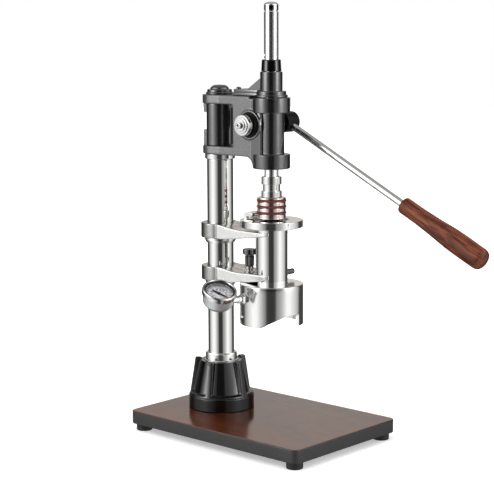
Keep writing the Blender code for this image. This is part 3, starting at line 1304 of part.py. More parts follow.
def make_guide_tower(pivot):
    """The stepped guide on top of the head with its plate and rib, its cap and its screw."""
    at_ram = (0.0, -RAM_REACH, 0.0)
    seat = BOARD_TOP + HOUSING_TOP_RISE + GAP
    top = BOARD_TOP + TOWER_TOP_RISE
    first = seat + TOWER_STEP_HEIGHTS[0]
    second = first + TOWER_STEP_HEIGHTS[1]
    profile = [(0.0, top), (TOWER_COLLAR_RADIUS, top), (TOWER_COLLAR_RADIUS, second)]
    profile += [(TOWER_STEP_RADII[1], second), (TOWER_STEP_RADII[1], first)]
    profile += [(TOWER_STEP_RADII[0], first), (TOWER_STEP_RADII[0], seat), (0.0, seat)]
    tower = settle(turned("guide_tower", profile, FINE), at_ram, parent=pivot)

    plate_low = BOARD_TOP + KNUCKLE_TOP_RISE + GAP
    plate_mid = plate_low + TOWER_PLATE_THICKNESS
    plate_high = plate_mid + TOWER_PLATE_THICKNESS
    half = TOWER_PLATE_HALF
    back = TOWER_PLATE_REACH
    lower = block("tower_low_plate", (-half, 0.0, plate_low), (half, back, plate_mid))
    join(tower, settle(lower, at_ram, parent=pivot))
    inset = TOWER_TOP_PLATE_SETBACK
    upper = block(
        "tower_high_plate",
        (-half + inset, 0.0, plate_mid - GAP),
        (half - inset, back - inset, plate_high),
    )
    join(tower, settle(upper, at_ram, parent=pivot))
    rib_start = TOWER_COLLAR_RADIUS / 2
    rib_end = TOWER_COLLAR_RADIUS + TOWER_RIB_LENGTH
    rib_outline = [
        (rib_start, plate_mid),
        (rib_end, plate_mid),
        (rib_end, plate_high),
        (TOWER_COLLAR_RADIUS, plate_high + TOWER_RIB_HEIGHT),
        (rib_start, plate_high + TOWER_RIB_HEIGHT),
    ]
    rib = plate("tower_rib", rib_outline, -TOWER_RIB_HALF, TOWER_RIB_HALF)
    join(tower, settle(rib, at_ram, SIDE_ON, pivot))
    ram_way = bar("tower_bore", RAM_RADIUS + GAP * 2 + GUIDE_BUSH_WALL, seat - OVERRUN, top + OVERRUN, MEDIUM)
    cut(tower, settle(ram_way, at_ram, parent=pivot))
    screw_place = (0.0, -PLATE_SCREW_REACH, 0.0)
    way = bar("tower_screw_hole", PLATE_SCREW_SHANK_RADIUS + GAP, plate_low - OVERRUN, plate_high + OVERRUN, COARSE)
    cut(tower, settle(way, screw_place, parent=pivot))
    keep(tower, "satin_black")

    bush = ring(
        "guide_bush", RAM_RADIUS + GAP + GUIDE_BUSH_WALL, RAM_RADIUS + GAP, seat, top, MEDIUM
    )
    keep(settle(bush, at_ram, parent=pivot), "bronze")

    cap_low = top + GAP
    cap_top = BOARD_TOP + GUIDE_CAP_RISE
    cap = turned(
        "guide_cap",
        [
            (GUIDE_CAP_HIGH_RADIUS - GUIDE_CAP_EDGE, cap_top),
            (GUIDE_CAP_HIGH_RADIUS, cap_top - GUIDE_CAP_EDGE),
            (GUIDE_CAP_LOW_RADIUS, cap_low),
            (RAM_RADIUS + GAP, cap_low),
            (RAM_RADIUS + GAP, cap_top),
        ],
        MEDIUM,
        closed=True,
    )
    keep(settle(cap, at_ram, parent=pivot), "gloss_black")

    screw_seat = plate_high + GAP
    screw_end = BOARD_TOP + KNUCKLE_TOP_RISE - PLATE_SCREW_BITE
    screw = turned(
        "plate_screw",
        [
            (0.0, screw_seat + PLATE_SCREW_HEAD),
            (PLATE_SCREW_RADIUS * 0.7, screw_seat + PLATE_SCREW_HEAD),
            (PLATE_SCREW_RADIUS, screw_seat + PLATE_SCREW_HEAD / 2),
            (PLATE_SCREW_RADIUS, screw_seat),
            (PLATE_SCREW_SHANK_RADIUS, screw_seat),
            (PLATE_SCREW_SHANK_RADIUS, screw_end),
            (0.0, screw_end),
        ],
        COARSE,
    )
    keep(settle(screw, screw_place, parent=pivot), "dark_steel")


def module_size():
    """The gear's module, from its pitch radius and its teeth."""
    return 2 * PINION_PITCH_RADIUS / PINION_TEETH


def pinion_outline():
    """The pinion's teeth, with involute flanks and one tooth pointing along +X of the outline."""
    module = module_size()
    base = PINION_PITCH_RADIUS * math.cos(PRESSURE_ANGLE)
    outer = PINION_PITCH_RADIUS + TOOTH_ADDENDUM_SHARE * module
    root = PINION_PITCH_RADIUS - TOOTH_DEDENDUM_SHARE * module
    half_at_pitch = PINION_TOOTH_SHARE * math.pi / PINION_TEETH

    def involute(angle):
        return math.tan(angle) - angle

    def half_angle(radius):
        angle = math.acos(min(1.0, base / radius))
        return half_at_pitch + involute(PRESSURE_ANGLE) - involute(angle)

    radii = [base + (outer - base) * step / 3 for step in range(4)]
    points = []
    for tooth in range(PINION_TEETH):
        middle = 2 * math.pi * tooth / PINION_TEETH
        flank = [(root, half_angle(base))] + [(radius, half_angle(radius)) for radius in radii]
        points += [(r * math.cos(middle - a), r * math.sin(middle - a)) for r, a in flank]
        points += [(r * math.cos(middle + a), r * math.sin(middle + a)) for r, a in reversed(flank)]
    return points


def rack_outline():
    """What is cut from the ram's back: straight-sided spaces, one of them level with the pinion."""
    module = module_size()
    pitch = math.pi * module
    tip = RACK_PITCH_OFFSET + TOOTH_ADDENDUM_SHARE * module
    root = RACK_PITCH_OFFSET - TOOTH_DEDENDUM_SHARE * module
    half = pitch * (1 - RACK_TOOTH_SHARE) / 2
    slope = math.tan(PRESSURE_ANGLE)
    at_tip = half + (tip - RACK_PITCH_OFFSET) * slope
    at_root = half - (RACK_PITCH_OFFSET - root) * slope
    pinion = BOARD_TOP + PINION_RISE
    below = math.ceil(RACK_UP_ALLOWANCE / pitch)
    above = math.ceil(RACK_DOWN_ALLOWANCE / pitch)
    outside = RAM_RADIUS + OVERRUN
    points = [(outside, pinion - below * pitch - pitch / 2), (tip, pinion - below * pitch - pitch / 2)]
    for number in range(-below, above + 1):
        middle = pinion + number * pitch
        points += [(tip, middle - at_tip), (root, middle - at_root)]
        points += [(root, middle + at_root), (tip, middle + at_tip)]
    end = pinion + above * pitch + pitch / 2
    return points + [(tip, end), (outside, end)]


def make_pinion(lever_axis):
    """The pinion cut in one with its shaft."""
    shaft = bar("pinion_shaft", SHAFT_RADIUS, -WASHER_FACE_X - END_NUT_RIM, HUB_FAR - HUB_EDGE, MEDIUM)
    settle(shaft, turn=ALONG_X, parent=lever_axis)
    teeth = plate("pinion_teeth", pinion_outline(), -PINION_FACE / 2, PINION_FACE / 2)
    join(shaft, settle(teeth, turn=(math.pi / 2, 0.0, math.pi / 2), parent=lever_axis))
    socket_depth = END_SCREW_HEAD + END_NUT_STEP
    tapped = bar(
        "end_screw_hole",
        END_SCREW_SOCKET_RADIUS + GAP,
        WASHER_FACE_X + END_NUT_RIM - socket_depth,
        WASHER_FACE_X + END_NUT_RIM + OVERRUN,
        COARSE,
    )
    cut(shaft, settle(tapped, turn=ALONG_MINUS_X, parent=lever_axis))
    hub_tap = bar(
        "hub_screw_hole",
        END_SCREW_SOCKET_RADIUS + GAP,
        HUB_FAR - HUB_LENGTH / 2,
        HUB_FAR + OVERRUN,
        COARSE,
    )
    cut(shaft, settle(hub_tap, turn=ALONG_X, parent=lever_axis))
    keep(shaft, "dark_steel")


def make_shaft_end(lever_axis):
    """The washer, the bright stepped nut and the socket screw on the shaft's near end."""
    bore = SHAFT_RADIUS + GAP
    washer = ring(
        "shaft_washer", SHAFT_WASHER_RADIUS, bore, COVER_FACE_X + GAP, WASHER_FACE_X, MEDIUM
    )
    keep(settle(washer, turn=ALONG_MINUS_X, parent=lever_axis), "satin_black")
    low = WASHER_FACE_X + GAP
    rim = WASHER_FACE_X + END_NUT_RIM
    first = rim + END_NUT_STEP
    second = first + END_NUT_STEP
    way = END_SCREW_SOCKET_RADIUS + GAP
    profile = [
        (END_NUT_STEP_RADII[1], second),
        (END_NUT_STEP_RADII[1], first),
        (END_NUT_STEP_RADII[0], first),
        (END_NUT_STEP_RADII[0], rim),
        (END_NUT_RADIUS - ARM_EDGE, rim),
        (END_NUT_RADIUS, rim - ARM_EDGE),
        (END_NUT_RADIUS, low),
        (bore, low),
        (bore, rim + GAP),
        (way, rim + GAP),
        (way, second),
    ]
    nut = turned("end_nut", profile, MEDIUM, closed=True)
    keep(settle(nut, turn=ALONG_MINUS_X, parent=lever_axis), "polished_steel")
    screw = turned(
        "end_screw",
        [
            (0.0, second + END_SCREW_HEAD / 2),
            (END_SCREW_SOCKET_RADIUS, second + END_SCREW_HEAD / 2),
            (END_SCREW_SOCKET_RADIUS, second + END_SCREW_HEAD),
            (END_SCREW_RADIUS, second + END_SCREW_HEAD),
            (END_SCREW_RADIUS, second + GAP),
            (END_SCREW_SOCKET_RADIUS, second + GAP),
            (END_SCREW_SOCKET_RADIUS, rim - END_NUT_STEP),
            (0.0, rim - END_NUT_STEP),
        ],
        COARSE,
    )
    keep(settle(screw, turn=ALONG_MINUS_X, parent=lever_axis), "dark_steel")


def make_lever(lever_axis):
    """The hub with its screw, the rod and the wooden handle."""
    down_the_rod = (math.pi / 2 + LEVER_DROOP, 0.0, 0.0)
    in_plane = (LEVER_SIDE, 0.0, 0.0)
    edge = HUB_EDGE
    bore = SHAFT_RADIUS + GAP
    way = END_SCREW_SOCKET_RADIUS + GAP
    pocket = HUB_FAR - HUB_SCREW_HEAD - GAP
    hub = turned(
        "lever_hub",
        [
            (HUB_SCREW_RADIUS + GAP, HUB_FAR),
            (HUB_RADIUS - edge, HUB_FAR),
            (HUB_RADIUS - edge / 3, HUB_FAR - edge / 3),
            (HUB_RADIUS, HUB_FAR - edge),
            (HUB_RADIUS, HUB_NEAR + edge / 3),
            (HUB_RADIUS - edge / 3, HUB_NEAR),
            (bore, HUB_NEAR),
            (bore, HUB_FAR - edge + GAP),
            (way, HUB_FAR - edge + GAP),
            (way, pocket + GAP * 2),
            (HUB_SCREW_RADIUS + GAP, pocket + GAP * 2),
        ],
        MEDIUM,
        closed=True,
    )
    settle(hub, turn=ALONG_X, parent=lever_axis)
    socket = bar("rod_socket", ROD_RADIUS + GAP, SHAFT_RADIUS + GAP, HUB_RADIUS + OVERRUN, COARSE)
    cut(hub, settle(socket, in_plane, down_the_rod, lever_axis))
    keep(hub, "satin_black")
    screw = turned(
        "hub_screw",
        [
            (0.0, HUB_FAR),
            (HUB_SCREW_RADIUS, HUB_FAR),
            (HUB_SCREW_RADIUS, HUB_FAR - edge + GAP * 4),
            (END_SCREW_SOCKET_RADIUS, HUB_FAR - edge + GAP * 4),
            (END_SCREW_SOCKET_RADIUS, HUB_FAR - HUB_LENGTH / 2 + GAP),
            (0.0, HUB_FAR - HUB_LENGTH / 2 + GAP),
        ],
        COARSE,
    )
    keep(settle(screw, turn=ALONG_X, parent=lever_axis), "dark_steel")

    rod_start = SHAFT_RADIUS + GAP * 3
    rod_end = HANDLE_START + HANDLE_SOCKET
    rod = bar("lever_rod", ROD_RADIUS, rod_start, rod_end, COARSE)
    keep(settle(rod, in_plane, down_the_rod, lever_axis), "polished_steel")

    length = HANDLE_END - HANDLE_START
    bored = HANDLE_START + HANDLE_SOCKET + GAP
    profile = [(0.0, HANDLE_END)]
    for along, girth in reversed(HANDLE_GIRTH_SHARES):
        profile.append((HANDLE_RADIUS * girth, HANDLE_START + length * along))
    profile += [(ROD_RADIUS + GAP, HANDLE_START), (ROD_RADIUS + GAP, bored), (0.0, bored)]
    handle = turned("lever_handle", profile, MEDIUM)
    keep(settle(handle, in_plane, down_the_rod, lever_axis), "rosewood")


def make_ram(ram_axis):
    """The round ram with rack teeth down its back, and the domed cap on its top."""
    ram = bar("ram_rack", RAM_RADIUS, BOARD_TOP + RAM_FOOT_RISE, BOARD_TOP + RAM_CAP_RISE, MEDIUM)
    settle(ram, parent=ram_axis)
    wide = RAM_RADIUS + OVERRUN
    teeth = plate("rack_spaces", rack_outline(), -wide, wide)
    cut(ram, settle(teeth, turn=SIDE_ON, parent=ram_axis))
    keep(ram, "polished_steel")

    low = BOARD_TOP + RAM_CAP_RISE + GAP
    high = low + RAM_CAP_HEIGHT
    groove = RAM_CAP_GROOVE
    rim = low + RAM_CAP_HEIGHT * 0.76
    dome = arc((0.0, 0.0), 1.0, math.pi / 2, 0.0, 5)
    profile = [(RAM_RADIUS * x, rim + (high - rim) * y) for x, y in dome]
    profile += [(RAM_RADIUS, low + groove), (RAM_RADIUS - groove, low + groove), (RAM_RADIUS - groove, low)]
    profile += [(0.0, low)]
    keep(settle(turned("ram_cap", profile, MEDIUM), parent=ram_axis), "polished_steel")


def make_piston(ram_axis):
    """The coupling nut, the grooved piston, its screw and its seals."""
    foot = BOARD_TOP + COUPLER_RISE
    neck = BOARD_TOP + COUPLER_NECK_RISE
    head = BOARD_TOP + COUPLER_HEAD_RISE
    top = BOARD_TOP + COUPLER_TOP_RISE
    edge = COUPLER_EDGE
    bore = RAM_RADIUS + GAP
    floor = top - RAM_SEAT_DEPTH
    screw_bore = PISTON_SCREW_SHANK_RADIUS + GAP
    coupler = turned(
        "piston_coupler",
        [
            (COUPLER_HEAD_RADIUS - edge, top),
            (COUPLER_HEAD_RADIUS, top - edge),
            (COUPLER_HEAD_RADIUS, head + edge),
            (COUPLER_HEAD_RADIUS - edge, head),
            (COUPLER_NECK_RADIUS, head),
            (COUPLER_NECK_RADIUS, neck),
            (COUPLER_FOOT_RADIUS - edge, neck),
            (COUPLER_FOOT_RADIUS, neck - edge),
            (COUPLER_FOOT_RADIUS, foot),
            (screw_bore, foot),
            (screw_bore, floor),
            (bore, floor),
            (bore, top),
        ],
        MEDIUM,
        closed=True,
    )
    keep(settle(coupler, parent=ram_axis), "polished_steel")

    low = BOARD_TOP + PISTON_RISE
    high = foot - GAP
    groove_root = SEAL_OUTER_RADIUS - SEAL_THICKNESS - GAP
    groove_half = SEAL_THICKNESS / 2 + GAP
    profile = [(PISTON_RADIUS, high)]
    for rise in reversed(SEAL_RISES):
        middle = BOARD_TOP + rise
        profile += [(PISTON_RADIUS, middle + groove_half), (groove_root, middle + groove_half)]
        profile += [(groove_root, middle - groove_half), (PISTON_RADIUS, middle - groove_half)]
    pocket = low + PISTON_SCREW_HEAD + GAP
    profile += [
        (PISTON_RADIUS, low + PISTON_EDGE),
        (PISTON_RADIUS - PISTON_EDGE, low),
        (PISTON_SCREW_RADIUS + GAP, low),
        (PISTON_SCREW_RADIUS + GAP, pocket),
        (screw_bore, pocket),
        (screw_bore, high),
    ]
    piston = turned("piston", profile, FINE, closed=True)
    keep(settle(piston, parent=ram_axis), "polished_steel")

    shank_top = min(low + PISTON_SCREW_HEAD + PISTON_SCREW_LENGTH * 2, floor + GAP)
    screw = turned(
        "piston_screw",
        [
            (0.0, shank_top),
            (PISTON_SCREW_SHANK_RADIUS, shank_top),
            (PISTON_SCREW_SHANK_RADIUS, low + PISTON_SCREW_HEAD),
            (PISTON_SCREW_RADIUS, low + PISTON_SCREW_HEAD),
            (PISTON_SCREW_RADIUS, low),
            (0.0, low),
        ],
        COARSE,
    )
    keep(settle(screw, parent=ram_axis), "dark_steel")

    section = SEAL_THICKNESS / 2
    for number, rise in enumerate(SEAL_RISES, start=1):
        circle = polygon(section, 6)
        circle = [(SEAL_OUTER_RADIUS - section + x, y) for x, y in reversed(circle)]
        seal = turned(f"piston_seal_{number}", circle, MEDIUM, closed=True)
        keep(settle(seal, (0.0, 0.0, BOARD_TOP + rise), parent=ram_axis), "red_silicone")


def main():
    """Builds the whole machine, from the board up."""
    make_board()
    make_pads()
    make_tie_rod()
    make_column_foot()
    make_foot_collar()
    make_column()
    make_arms()
    make_knob()
    make_cylinder()
    make_group()
    make_gauge()
    pivot = empty("head_pivot", (0.0, COLUMN_Y, 0.0))
    make_head_casting(pivot)
    make_shaft_cover(pivot)
    make_guide_tower(pivot)
    lever_axis = empty("lever_axis", (0.0, PINION_Y - COLUMN_Y, BOARD_TOP + PINION_RISE), parent=pivot)
    make_pinion(lever_axis)
    make_shaft_end(lever_axis)
    make_lever(lever_axis)
    ram_axis = empty("ram_axis", (0.0, -RAM_REACH, 0.0), parent=pivot)
    make_ram(ram_axis)
    make_piston(ram_axis)


main()
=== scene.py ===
"""Looks of the lever espresso machine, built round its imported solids.

Metres, +Z up, front towards -Y, the lever's hub towards +X. A height named rise is measured from the
board's top. Each sub-assembly is a class that holds its sizes and builds and dresses its pieces, and
each piece stands for the CAD node that it is named after. A row of a profile's table is a corner's
radius and height, and its rounding where there is a third number.
"""

import json
import logging
import math
from dataclasses import dataclass
from enum import Enum
from functools import partial
from typing import Callable, Sequence

import bmesh
import bpy
import numpy as np
from mathutils import Matrix, Vector


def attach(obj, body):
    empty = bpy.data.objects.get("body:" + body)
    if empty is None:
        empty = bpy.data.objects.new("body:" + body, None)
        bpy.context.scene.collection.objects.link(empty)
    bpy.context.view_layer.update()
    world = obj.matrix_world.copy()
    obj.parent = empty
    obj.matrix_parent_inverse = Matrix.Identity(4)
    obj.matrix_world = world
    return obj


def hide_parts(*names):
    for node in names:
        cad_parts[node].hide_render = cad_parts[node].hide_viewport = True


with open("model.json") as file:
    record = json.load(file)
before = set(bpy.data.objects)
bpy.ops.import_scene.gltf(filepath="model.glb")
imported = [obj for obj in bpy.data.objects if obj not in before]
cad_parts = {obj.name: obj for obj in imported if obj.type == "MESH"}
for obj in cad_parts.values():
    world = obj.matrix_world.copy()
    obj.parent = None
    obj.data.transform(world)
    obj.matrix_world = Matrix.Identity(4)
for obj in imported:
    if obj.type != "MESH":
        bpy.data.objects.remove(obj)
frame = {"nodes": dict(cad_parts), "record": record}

Array = np.ndarray
Band = tuple[float, float]
Triple = tuple[float, float, float]
Colour = Triple
Rows = tuple[tuple[float, ...], ...]
Rounding = float | Sequence[float]
Wave = Callable[[Array, Array, Array], Array]
Field = Wave

logging.basicConfig(level=logging.INFO, format="%(name)s: %(message)s")
LOG = logging.getLogger("espresso_machine")

BOARD_TOP = 0.023
COLUMN_Y = 0.1313
RAM_Y = 0.054
PINION = (0.0, 0.0707, 0.3503)
DROOP = math.radians(26.2)
COLUMN_FIT = 0.0152
GAP = 0.0003

# Roundings that many edges share.
HAIR = 0.0001
FINE = 0.0002
CRISP = 0.0003
EASED = 0.0004
ROUNDED = 0.0006

MERGE = 1e-6
TINY = 1e-12
ZERO = (0.0, 0.0, 0.0)
ONE = (1.0, 1.0, 1.0)
RIGHT = (1.0, 0.0, 0.0)
UP = (0.0, 0.0, 1.0)
QUARTER = math.pi / 2
ROUND = 2 * math.pi


# Surfaces


@dataclass(frozen=True)
class Place:
    """Where a turned or cut shape stands.

    Args:
        origin: The point that the shape's own zero goes to.
        axis: The direction of the shape's height.
        zero: The direction of the shape's first width, square to the axis.
    """

    origin: Triple
    axis: Triple = UP
    zero: Triple = RIGHT

    def put(self, across: Array, up: Array, along: Array) -> Array:
        """Origin plus across times zero, up times (axis x zero) and along times axis.

        Args:
            across: Distances along zero.
            up: Distances square to both directions.
            along: Heights along the axis.

        Returns:
            The points, one row each.
        """
        axis, zero = np.array(self.axis), np.array(self.zero)
        second = np.cross(axis, zero)
        parts = np.broadcast_arrays(across, up, along)
        flat = [part.reshape(-1, 1) for part in parts]
        return np.array(self.origin) + flat[0] * zero + flat[1] * second + flat[2] * axis


ORIGIN = Place(ZERO)
AT_COLUMN = Place((0.0, COLUMN_Y, BOARD_TOP))
AT_RAM = Place((0.0, RAM_Y, BOARD_TOP))
NEAR_SIDE = Place(PINION, (-1.0, 0.0, 0.0), UP)
FAR_SIDE = Place(PINION, RIGHT, UP)
SIDE_ON = Place(ZERO, RIGHT, (0.0, 1.0, 0.0))


def outward(heading: float, rise: float) -> Place:
    """A level axis that leaves the ram's axis at a heading, so high above the board."""
    way = (math.cos(heading), math.sin(heading), 0.0)
    return Place((0.0, RAM_Y, BOARD_TOP + rise), way, UP)


@dataclass
class Shell:
    """One closed surface: its points, and its faces as rows of point numbers."""

    points: Array
    faces: list[list[int]]


def lattice(rows: int, columns: int, rows_close: bool, columns_close: bool) -> Array:
    """Quads between neighbouring points of a grid.

    Args:
        rows: Points down the grid.
        columns: Points across it.
        rows_close: Whether the last row meets the first.
        columns_close: Whether the last column meets the first.

    Returns:
        One row of four point numbers for each quad.
    """
    row = np.arange(rows if rows_close else rows - 1)
    column = np.arange(columns if columns_close else columns - 1)
    first, second = np.meshgrid(row, column, indexing="ij")
    below, right = (first + 1) % rows, (second + 1) % columns
    this, other = first * columns, below * columns
    return np.stack([this + second, this + right, other + right, other + second], -1).reshape(-1, 4)


def softened(corners: Sequence, radius: Rounding, closed: bool = True, steps: int = 4) -> Array:
    """Rounds each corner of a line with a circular arc.

    The arc is a rational curve of second degree between two points at the same distance from the
    corner: (A (1-t)^2 + 2 w C t (1-t) + B t^2) over the same sum of weights, where w is the sine of
    half the angle between the sides, which makes the curve a circle's arc.

    Args:
        corners: The corners, in order.
        radius: One radius, or one for each corner. The distance is cut to under half a side.
        closed: Whether the line comes back to its start.
        steps: Points on each arc, less one.

    Returns:
        The rounded line's points.
    """
    corner = np.asarray(corners, float)
    before, after = np.roll(corner, 1, 0), np.roll(corner, -1, 0)
    back, ahead = before - corner, after - corner
    back_size = np.maximum(np.linalg.norm(back, axis=1, keepdims=True), TINY)
    ahead_size = np.maximum(np.linalg.norm(ahead, axis=1, keepdims=True), TINY)
    back, ahead = back / back_size, ahead / ahead_size
    cosine = np.clip((back * ahead).sum(1), -0.99999, 0.99999)
    half = np.arccos(cosine) / 2
    wanted = np.broadcast_to(np.asarray(radius, float), (len(corner),)) / np.tan(half)
    reach = np.minimum(wanted, 0.49 * np.minimum(back_size, ahead_size)[:, 0])
    if not closed:
        reach = reach.copy()
        reach[[0, -1]] = 0.0
    start = corner + back * reach[:, None]
    end = corner + ahead * reach[:, None]
    t = np.linspace(0.0, 1.0, steps + 1)[None, :, None]
    weight = np.sin(half)[:, None, None]
    parts = ((1 - t) ** 2, 2 * weight * t * (1 - t), t**2)
    curve = parts[0] * start[:, None] + parts[1] * corner[:, None] + parts[2] * end[:, None]
    curve = (curve / (parts[0] + parts[1] + parts[2])).reshape(-1, corner.shape[1])
    gap = np.linalg.norm(np.diff(curve, axis=0), axis=1)
    return curve[np.concatenate([[True], gap > 1e-7])]


def held(line: Array, closed: bool, hold: float = CRISP) -> Array:
    """Adds a point close behind each end of a long straight stretch, so that it shades as flat.

    Args:
        line: The line's points.
        closed: Whether the line comes back to its start.
        hold: The distance from each end.

    Returns:
        The line with its new points.
    """
    ahead = np.roll(line, -1, 0)
    stretch = ahead - line
    size = np.linalg.norm(stretch, axis=1, keepdims=True)
    long = size[:, 0] > 4 * hold
    if not closed:
        long[-1] = False
    step = stretch / np.maximum(size, TINY) * hold
    rows = np.stack([line, line + step, ahead - step], 1)
    keep = np.stack([np.ones_like(long), long, long], 1)
    return rows[keep]


def mm(*rows: Sequence[float]) -> Rows:
    """Rows of millimetres as rows of metres."""
    return tuple(tuple(number / 1000 for number in row) for row in rows)


def round_grid(line: Array, steps: int) -> tuple[Array, Array, Array]:
    """Radius, height and angle at each point of a profile that goes round an axis.

    Args:
        line: The profile's (radius, height) points.
        steps: Divisions round the axis.

    Returns:
        The three, each with a row for each point of the profile.
    """
    angle = np.arange(steps) / steps * ROUND
    return np.broadcast_arrays(line[:, :1], line[:, 1:], angle[None, :])


def turned(
    place: Place, rows: Sequence, radius: float | None = None, base: float = 0.0, ring: bool = False,
    steps: int = 128, wave: Wave | None = None,
) -> Shell:
    """A profile carried round an axis: (r cos a, r sin a, h) for each angle a and profile point (r, h).

    Args:
        place: The axis.
        rows: Radius and height of each corner, and its rounding where no radius is given. An open
            profile starts and ends on the axis.
        radius: One rounding for all corners.
        base: The height that the rows count from.
        ring: Whether the profile closes on itself, as that of a tube does.
        steps: Divisions round the axis.
        wave: Gives a new radius for (radius, height, angle), for ribs, flutes or teeth.

    Returns:
        The closed surface.
    """
    table = np.array(rows, float)
    table[:, 1] += base
    rounding = table[:, 2] if radius is None else radius
    line = held(softened(table[:, :2], rounding, closed=ring), ring)
    size, height, angle = round_grid(line, steps)
    if wave is not None:
        size = wave(size, height, angle)
    points = place.put(size * np.cos(angle), size * np.sin(angle), height)
    return Shell(points, lattice(len(line), steps, ring, True).tolist())


def prism(
    outline: Sequence,
    low: float,
    high: float,
    place: Place,
    edge: float = 0.0005,
    corner: Rounding = 0.0,
    steps: int = 4,
) -> Shell:
    """An outline carried along an axis with rounded edges.

    Each row is the outline moved inwards by edge (1 - cos b) at the height edge (1 - sin b) from the
    end, for b from 0 to a quarter turn. Inwards is along the mean of the two sides' normals.

    Args:
        outline: Corners, anticlockwise seen from the axis's far end.
        low: The lower end along the axis.
        high: The upper end.
        place: The axis.
        edge: The rounding of the edges at both ends.
        corner: The rounding of the outline's own corners.
        steps: Rows in each rounded edge, less one.

    Returns:
        The closed surface.
    """
    line = softened(outline, corner) if np.any(np.asarray(corner) > 0) else np.asarray(outline, float)
    side = np.roll(line, -1, 0) - line
    normal = np.stack([-side[:, 1], side[:, 0]], 1)
    normal /= np.maximum(np.linalg.norm(normal, axis=1, keepdims=True), TINY)
    last = np.roll(normal, 1, 0)
    inward = (normal + last) / np.maximum(1 + (normal * last).sum(1, keepdims=True), 0.2)
    turn = np.linspace(0.0, QUARTER, steps + 1)
    inset = edge * (1 - np.sin(turn))
    rise = edge * (1 - np.cos(turn))
    inset = np.concatenate([inset[:1] + edge, inset, inset[::-1], inset[:1] + edge])
    height = np.concatenate([[low], low + rise, (high - rise)[::-1], [high]])
    spread = line[None] + inward[None] * inset[:, None, None]
    points = place.put(spread[..., 0], spread[..., 1], height[:, None])
    count = len(line)
    faces = lattice(len(height), count, False, True).tolist()
    top = (len(height) - 1) * count
    faces.append(list(range(count - 1, -1, -1)))
    faces.append(list(range(top, top + count)))
    return Shell(points, faces)


def arc(centre: Band, radius: float, start: float, end: float, steps: int) -> Array:
    """Points on a circle's arc: centre plus radius times (cosine, sine) of evenly spread angles."""
    angle = np.linspace(start, end, steps)
    return np.stack([centre[0] + radius * np.cos(angle), centre[1] + radius * np.sin(angle)], 1)


def rectangle(left: float, right: float, front: float, back: float) -> list[Band]:
    """Corners of a rectangle, anticlockwise."""
    return [(left, front), (right, front), (right, back), (left, back)]


def rod(radius: float, low: float, high: float) -> list[Band]:
    """The profile of a plain rod."""
    return [(0.0, low), (radius, low), (radius, high), (0.0, high)]


def hexagon(flats: float) -> Array:
    """Corners of a hexagon that measures flats across its sides."""
    return arc((0.0, 0.0), flats / math.sqrt(3.0), 0.0, ROUND * 5 / 6, 6)


# Cast bodies


def melt(first: Array, second: Array, blend: float) -> Array:
    """The lower of two distances, less h^2 / (4 blend), h being how far they are within the blend."""
    near = np.maximum(blend - np.abs(first - second), 0.0)
    return np.minimum(first, second) - near**2 / (4 * blend)


def carve(body: Array, hole: Array, blend: float) -> Array:
    """The body outside the hole: the higher of body and minus hole, melted the same way."""
    return -melt(-body, hole, blend)


def meet(first: Array, second: Array, edge: float) -> Array:
    """Where two distances both hold, with their common edge rounded to a quarter circle.

    Args:
        first: One distance.
        second: The other.
        edge: The edge's radius.

    Returns:
        The distance to what both share.
    """
    one, two = first + edge, second + edge
    outside = np.hypot(np.maximum(one, 0.0), np.maximum(two, 0.0))
    return outside + np.minimum(np.maximum(one, two), 0.0) - edge


def between(value: Array, low: Array | float, high: Array | float) -> Array:
    """Distance to a slab from low to high: how far the value is from its middle, less half its height."""
    return np.abs(value - (low + high) / 2) - (high - low) / 2


def inside_of(outline: Array, x: Array, y: Array) -> Array:
    """Distance to a closed line: to its nearest side, negative inside by the crossing rule.

    Args:
        outline: The line's corners.
        x: Places along the outline's first axis.
        y: Places along its second.

    Returns:
        One distance for each place.
    """
    start, end = outline, np.roll(outline, -1, 0)
    nearest = np.full(x.shape, np.inf)
    sign = np.ones(x.shape)
    for (ax, ay), (bx, by) in zip(start, end):
        side_x, side_y = bx - ax, by - ay
        along = (x - ax) * side_x + (y - ay) * side_y
        share = np.clip(along / (side_x**2 + side_y**2 + TINY**2), 0.0, 1.0)
        nearest = np.minimum(nearest, (x - ax - side_x * share) ** 2 + (y - ay - side_y * share) ** 2)
        if by != ay:
            crosses = ((ay > y) != (by > y)) & (x < (bx - ax) * (y - ay) / (by - ay) + ax)
            sign = np.where(crosses, -sign, sign)
    return sign * np.sqrt(nearest)


